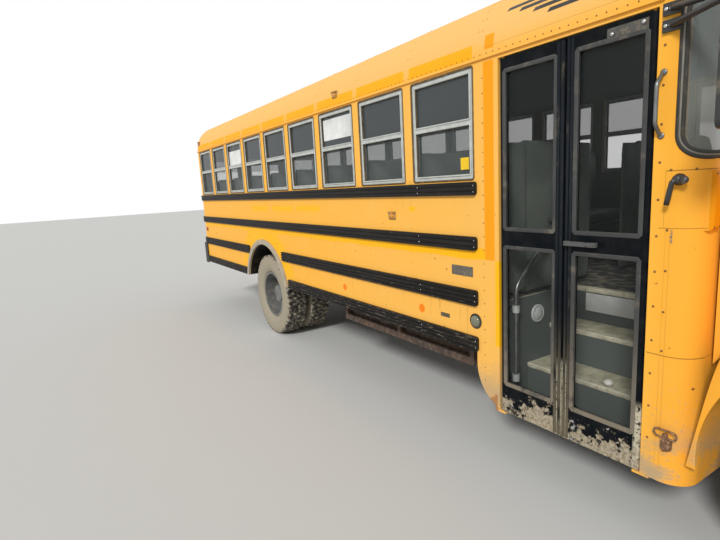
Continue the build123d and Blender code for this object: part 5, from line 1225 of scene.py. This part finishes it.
def makeMirrorTrim():
    faces, bolts = [], []
    head = [(0.0095, 0), (0.0095, 0.005), (0.006, 0.008), (0, 0.008)]
    for side in (-1, 1):
        faces.append(sidePad(side, 0.0, fittings["mirrorX"], fittings["mirrorY"], fittings["mirrorZ"], 0.001))
        for z in fittings["mirrorBoltZ"]:
            bolts += [lathe(head, (x, side * (sideY + 0.014), z), (0, side, 0), 6)
                      for x in fittings["mirrorBoltX"]]
    makePiece("mirror_faces", faces, "mirrorFace", "vehicle", smooth=False)
    makePiece("mirror_bolts", bolts, "bareSteel", "vehicle")
    foot = [(0.015, 0), (0.015, 0.003), (0.010, 0.005), (0, 0.006)]
    feet = [lathe(foot, (screwX, -sideY, z), (0, -1, 0), 14) for z in fittings["pullZ"]]
    makePiece("pull_feet", feet, "dullSteel", "vehicle")


makeLatches()
makeRelease()
makeMirrorTrim()
print("fittings placed")

# Windscreen: a rubber gasket with a bright bead, wrapped round the body's corners, and two wipers


def halfFrame(side, low, high, section):
    # From the middle of the sill round the end and back to the middle of the head, with the section (u, v)
    radius, corner = windscreen["bodyCorner"], windscreen["corner"]
    turn = np.linspace(0, math.pi / 2, 12)
    cornerX = windscreen["sideX"] + corner * (1 - np.sin(turn))
    cornerS = radius * np.arcsin((cornerX - cowlX + radius) / radius)
    cornerZ = low + corner * (1 - np.cos(turn))
    middle = radius * math.pi / 2 + sideY - radius
    run = np.linspace(middle, cornerS[0], 14)[:-1]
    s = np.concatenate([run, cornerS, cornerS[::-1], run[::-1]])
    z = np.concatenate([np.full(len(run), low), cornerZ, high + low - cornerZ[::-1], np.full(len(run), high)])
    ds, dz = np.gradient(s), np.gradient(z)
    length = np.hypot(ds, dz)
    section = np.asarray(section, float)
    gridS = s[:, None] - (dz / length)[:, None] * section[None, :, 0]
    gridZ = z[:, None] + (ds / length)[:, None] * section[None, :, 0]
    x, y, nx, ny = frontSkin(gridS, side)
    points = np.stack([x + nx * section[:, 1], y + ny * section[:, 1], gridZ], axis=-1)
    return points.reshape(-1, 3), rodFaces(len(s), len(section))


def makeWindscreenTrim():
    low, high = windscreen["low"], windscreen["high"]
    for name, section, finish, slotName in (("windscreen_gasket", "rubber", "gasketGrey", "black_rubber"),
                                            ("windscreen_bead", "bead", "beadGrey", "aluminium")):
        shells = [halfFrame(side, low, high, windscreen[section]) for side in (-1, 1)]
        makePiece(name, shells, finish, "vehicle")
    bar = prism(windscreen["bar"], (cowlX, 0, low - 0.005), (cowlX, 0, high + 0.005), (0, 1, 0), (1, 0, 0))
    makePiece("windscreen_bar", [bar], "gasketGrey", "vehicle", smooth=False)
    wipers = []
    pivot = [(0.022, -0.008), (0.022, 0.012), (0.012, 0.020), (0, 0.021)]
    for y in windscreen["wiperYs"]:
        arm = [(cowlX + 0.016, y, low - 0.035), (cowlX + 0.028, y + 0.04, low + 0.03),
               (cowlX + 0.030, y + 0.19, low + 0.30)]
        blade = [(cowlX + 0.016, y + 0.10, low + 0.06), (cowlX + 0.019, y + 0.19, low + 0.30),
                 (cowlX + 0.016, y + 0.24, low + 0.54)]
        wipers += [lathe(pivot, (cowlX + 0.004, y, low - 0.035), (1, 0, 0), 14), tube(arm, 0.005, 8),
                   tube(blade, 0.006, 8)]
    makePiece("wipers", wipers, "blackEnamel", "vehicle")
    labelX = [cowlX - back for back in windscreen["labelIn"]]
    label = pillow(*zip(labelX, windscreen["labelY"], windscreen["labelZ"]), 0.0006)
    makePiece("windscreen_label", [label], "signWhite", "vehicle", smooth=False)


makeWindscreenTrim()
print("windscreen trimmed")

# Headlamps: a bright rim round a bulged lens
frontLights = {
    "x": 4.648, "y": (0.680, 0.920), "z": (0.845, 1.015), "corner": 0.025, "edge": 0.012, "bulge": 0.012,
    "back": 0.004, "grid": (17, 25),
    "rim": [(-0.014, -0.010), (0.002, -0.010), (0.002, 0.004), (-0.006, 0.010), (-0.014, 0.004)],
}


def makeFrontLights():
    rims, lenses = [], []
    (y0, y1), (z0, z1), x = frontLights["y"], frontLights["z"], frontLights["x"]
    edge, back, (rows, columns) = frontLights["edge"], frontLights["back"], frontLights["grid"]
    for side in (-1, 1):
        a, b = sorted((side * y0, side * y1))
        rims.append(crossLoop(a, b, z0, z1, frontLights["corner"], x, 1, frontLights["rim"]))
        # The lens: x + bulge (1 - v^4)(1 - w^4), v and w from -1 to 1 across it
        v = np.linspace(a + edge, b - edge, columns)[None, :]
        w = np.linspace(z0 + edge, z1 - edge, rows)[:, None]
        bulge = (1 - ((2 * v - a - b) / (b - a)) ** 4) * (1 - ((2 * w - z0 - z1) / (z1 - z0)) ** 4)
        sheet = np.stack([x + frontLights["bulge"] * bulge, v + 0 * w, w + 0 * v], axis=-1)
        shell = np.concatenate([sheet, sheet[::-1]])
        shell[rows:, :, 0] = x - back
        lenses.append((shell.reshape(-1, 3), slabFaces(2 * rows, columns)))
    makePiece("headlamp_rims", rims, "bareSteel", "hood")
    makePiece("headlamp_lenses", lenses, "clearLens", "hood")


makeFrontLights()
print("front lights made")

# Four dark bands on the roof's right shoulder, stepped like stairs
roofBands = {"count": 4, "startX": 2.027, "stepX": 0.101, "angle": 0.553, "stepAngle": -0.0955,
             "height": 0.055, "slant": 0.013, "length": 0.72, "out": 0.0012, "in": -0.0010}


def makeRoofBands():
    # Round the shoulder by its angle, outside and then back inside the skin, with slanted ends:
    # y = middle + radius cos angle, z = spring line + radius sin angle
    bands = []
    shoulder, springZ = roofShape["shoulder"], roofShape["springZ"]
    share = np.linspace(0, 1, 6)
    share = np.concatenate([share, share[::-1]])
    radius = shoulder + np.repeat([roofBands["out"], roofBands["in"]], 6)
    for i in range(roofBands["count"]):
        angle = roofBands["angle"] + i * roofBands["stepAngle"] + roofBands["height"] * share
        start = roofBands["startX"] + i * roofBands["stepX"] + roofBands["slant"] * share
        y = -(sideY - shoulder + radius * np.cos(angle))
        z = springZ + radius * np.sin(angle)
        points = np.concatenate([np.stack([start + along, y, z], axis=-1)
                                 for along in (0.0, roofBands["length"])])
        bands.append((points, rodFaces(2, 12)))
    makePiece("roof_bands", bands, "blackEnamel", "vehicle", smooth=False)


makeRoofBands()
print("roof bands laid")

# Seats: soft boxes blown up as cloth, one of each kind, set down in every row
seats = {
    "pressure": 4.0, "steps": 20, "cap": 0.014, "inset": 0.011, "fill": 0.6, "rows": 9, "middleY": 0.672,
    "backZ": 1.7725, "cushionForward": 0.2475, "cushionZ": 1.485, "barrier": (1.950, 1.605),
    "driver": {"driver back": (2.260, 0.640, 1.775), "driver cushion": (2.5425, 0.640, 1.480)},
    # size, voxel, how far the sewn lines are from the middle line across the seat
    "kinds": {"bench back": ((0.090, 0.984, 0.685), 0.024, (0.0, 0.40)),
              "bench cushion": ((0.395, 0.984, 0.110), 0.024, (0.0, 0.40)),
              "barrier": ((0.040, 0.984, 1.020), 0.017, (0.24,)),
              "driver back": ((0.100, 0.480, 0.700), 0.020, (0.10,)),
              "driver cushion": ((0.455, 0.480, 0.110), 0.020, (0.10,))},
}


def places(mesh):
    # The mesh's points as rows of x, y, z
    points = np.empty(len(mesh.vertices) * 3)
    mesh.vertices.foreach_get("co", points)
    return points.reshape(-1, 3)


def softShape(kind):
    # A box with round edges, remeshed evenly and swollen by pressure between its sewn lines, about the origin
    size, voxel, sewnLines = seats["kinds"][kind]
    half = np.array(size) / 2
    inset = min(seats["inset"], half.min() * 0.3)
    points, faces = outwards(*pillow(inset - half, half - inset, (half.min() - inset) * 0.9))
    mesh = bpy.data.meshes.new(kind)
    mesh.from_pydata(points.tolist(), [], faces)
    shape = bpy.data.objects.new(kind, mesh)
    bpy.context.scene.collection.objects.link(shape)
    remesh = shape.modifiers.new("remesh", "REMESH")
    remesh.mode = "VOXEL"
    remesh.voxel_size = voxel
    even = bpy.data.meshes.new_from_object(shape.evaluated_get(bpy.context.evaluated_depsgraph_get()))
    shape.modifiers.clear()
    shape.data = even
    before = places(even)
    after = before
    fromSeam = np.min([np.abs(np.abs(before[:, 1]) - line) for line in sewnLines], axis=0)
    sewn = shape.vertex_groups.new(name="sewn")
    sewn.add(np.nonzero(fromSeam < voxel * 0.5)[0].tolist(), 1.0, "REPLACE")
    cloth = shape.modifiers.new("cloth", "CLOTH")
    cloth.settings.use_pressure = True
    cloth.settings.uniform_pressure_force = seats["pressure"]
    cloth.settings.effector_weights.gravity = 0
    cloth.settings.vertex_group_mass = "sewn"
    for step in range(seats["steps"]):
        bpy.context.scene.frame_set(step + 1)
    swollen = bpy.data.meshes.new_from_object(shape.evaluated_get(bpy.context.evaluated_depsgraph_get()))
    after = places(swollen)
    bpy.context.scene.frame_set(1)
    move = after - before
    length = np.maximum(np.linalg.norm(move, axis=1, keepdims=True), 1e-9)
    after = np.clip(before + move * np.minimum(1.0, seats["cap"] / length), -half, half)
    faces = [list(face.vertices) for face in even.polygons]
    bpy.data.objects.remove(shape)
    return after, faces


def makeSeats():
    shapes = {kind: softShape(kind) for kind in seats["kinds"]}
    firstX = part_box("seat_pads")[0].x + seats["kinds"]["bench back"][0][0] / 2
    sets = {"seat_backs": [], "seat_cushions": [], "barriers": [], "driver_seat": []}

    def put(name, kind, place):
        points, faces = shapes[kind]
        sets[name].append((points + np.array(place), faces))

    barrierX, barrierZ = seats["barrier"]
    for side in (-1, 1):
        y = side * seats["middleY"]
        for row in range(seats["rows"]):
            x = firstX + row * windowPitch
            put("seat_backs", "bench back", (x, y, seats["backZ"]))
            put("seat_cushions", "bench cushion", (x + seats["cushionForward"], y, seats["cushionZ"]))
        put("barriers", "barrier", (barrierX, y, barrierZ))
    for kind, place in seats["driver"].items():
        put("driver_seat", kind, place)
    for name, shells in sets.items():
        piece = makePiece(name, shells, "vinyl", "vehicle")
        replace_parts(piece, "seat_pads")


makeSeats()
print("seats padded")

# Camera, light and floor
view = {
    "place": (4.106, -3.569, 1.870),
    "right": (0.5396, 0.8402, -0.0543), "up": (-0.1122, 0.1357, 0.9844),
    "forward": (-0.8344, 0.5251, -0.1675),
    "lens": 24.62, "sensor": 36.0, "near": 0.05, "far": 200,
}
light = {"toSun": (0.441, -0.697, 0.565), "sunStrength": 2.3, "sunAngle": 12.0, "skyStrength": 0.55,
         "floorColour": (0.62, 0.62, 0.60), "floorShade": (0.55, 0.55, 0.53), "floorHalf": 60.0}


def makeCamera():
    camera = bpy.data.objects.new("camera", bpy.data.cameras.new("camera"))
    turn = Matrix((view["right"], view["up"], [-c for c in view["forward"]])).transposed()
    camera.matrix_world = Matrix.Translation(view["place"]) @ turn.to_4x4()
    camera.data.lens = view["lens"]
    camera.data.sensor_width = view["sensor"]
    camera.data.clip_start = view["near"]
    camera.data.clip_end = view["far"]
    bpy.context.scene.collection.objects.link(camera)
    bpy.context.scene.camera = camera


def makeLight():
    lamp = bpy.data.lights.new("sun", "SUN")
    lamp.energy = light["sunStrength"]
    lamp.angle = math.radians(light["sunAngle"])
    sun = bpy.data.objects.new("sun", lamp)
    sun.rotation_mode = "QUATERNION"
    sun.rotation_quaternion = Vector(light["toSun"]).to_track_quat("Z", "Y")
    bpy.context.scene.collection.objects.link(sun)
    world = bpy.data.worlds.new("studio")
    bpy.context.scene.world = world
    world.use_nodes = True
    tree = world.node_tree
    tree.nodes.clear()
    # White behind the bus, and in glass and metal; a dimmer white as light
    rays = addNode(tree, "LightPath").outputs
    seen = highest(*(Shade(rays[f"Is {kind} Ray"]) for kind in ("Camera", "Glossy", "Transmission")))
    strength = addNode(tree, "MapRange", {"Value": seen, "To Min": light["skyStrength"], "To Max": 1.0})
    back = addNode(tree, "Background", {"Color": (1, 1, 1, 1), "Strength": Shade(strength.outputs[0])})
    addNode(tree, "OutputWorld", {"Surface": Shade(back.outputs[0])})


def makeFloor():
    half = light["floorHalf"]
    mesh = bpy.data.meshes.new("floorPlane")
    corners = [(-half, -half, 0), (half, -half, 0), (half, half, 0), (-half, half, 0)]
    mesh.from_pydata(corners, [], [(0, 1, 2, 3)])
    material, shader, where = newMaterial("floorPale")
    colour = blend(grain(where, 0.8, 2) * 0.15, light["floorColour"], light["floorShade"])
    plug(shader, {"Base Color": colour, "Roughness": 0.9, "Specular IOR Level": 0.1})
    mesh.materials.append(material)
    floor = bpy.data.objects.new("floorPlane", mesh)
    bpy.context.scene.collection.objects.link(floor)


makeCamera()
makeLight()
makeFloor()
bpy.context.scene.view_settings.view_transform = "Standard"
print("camera, light and floor set")
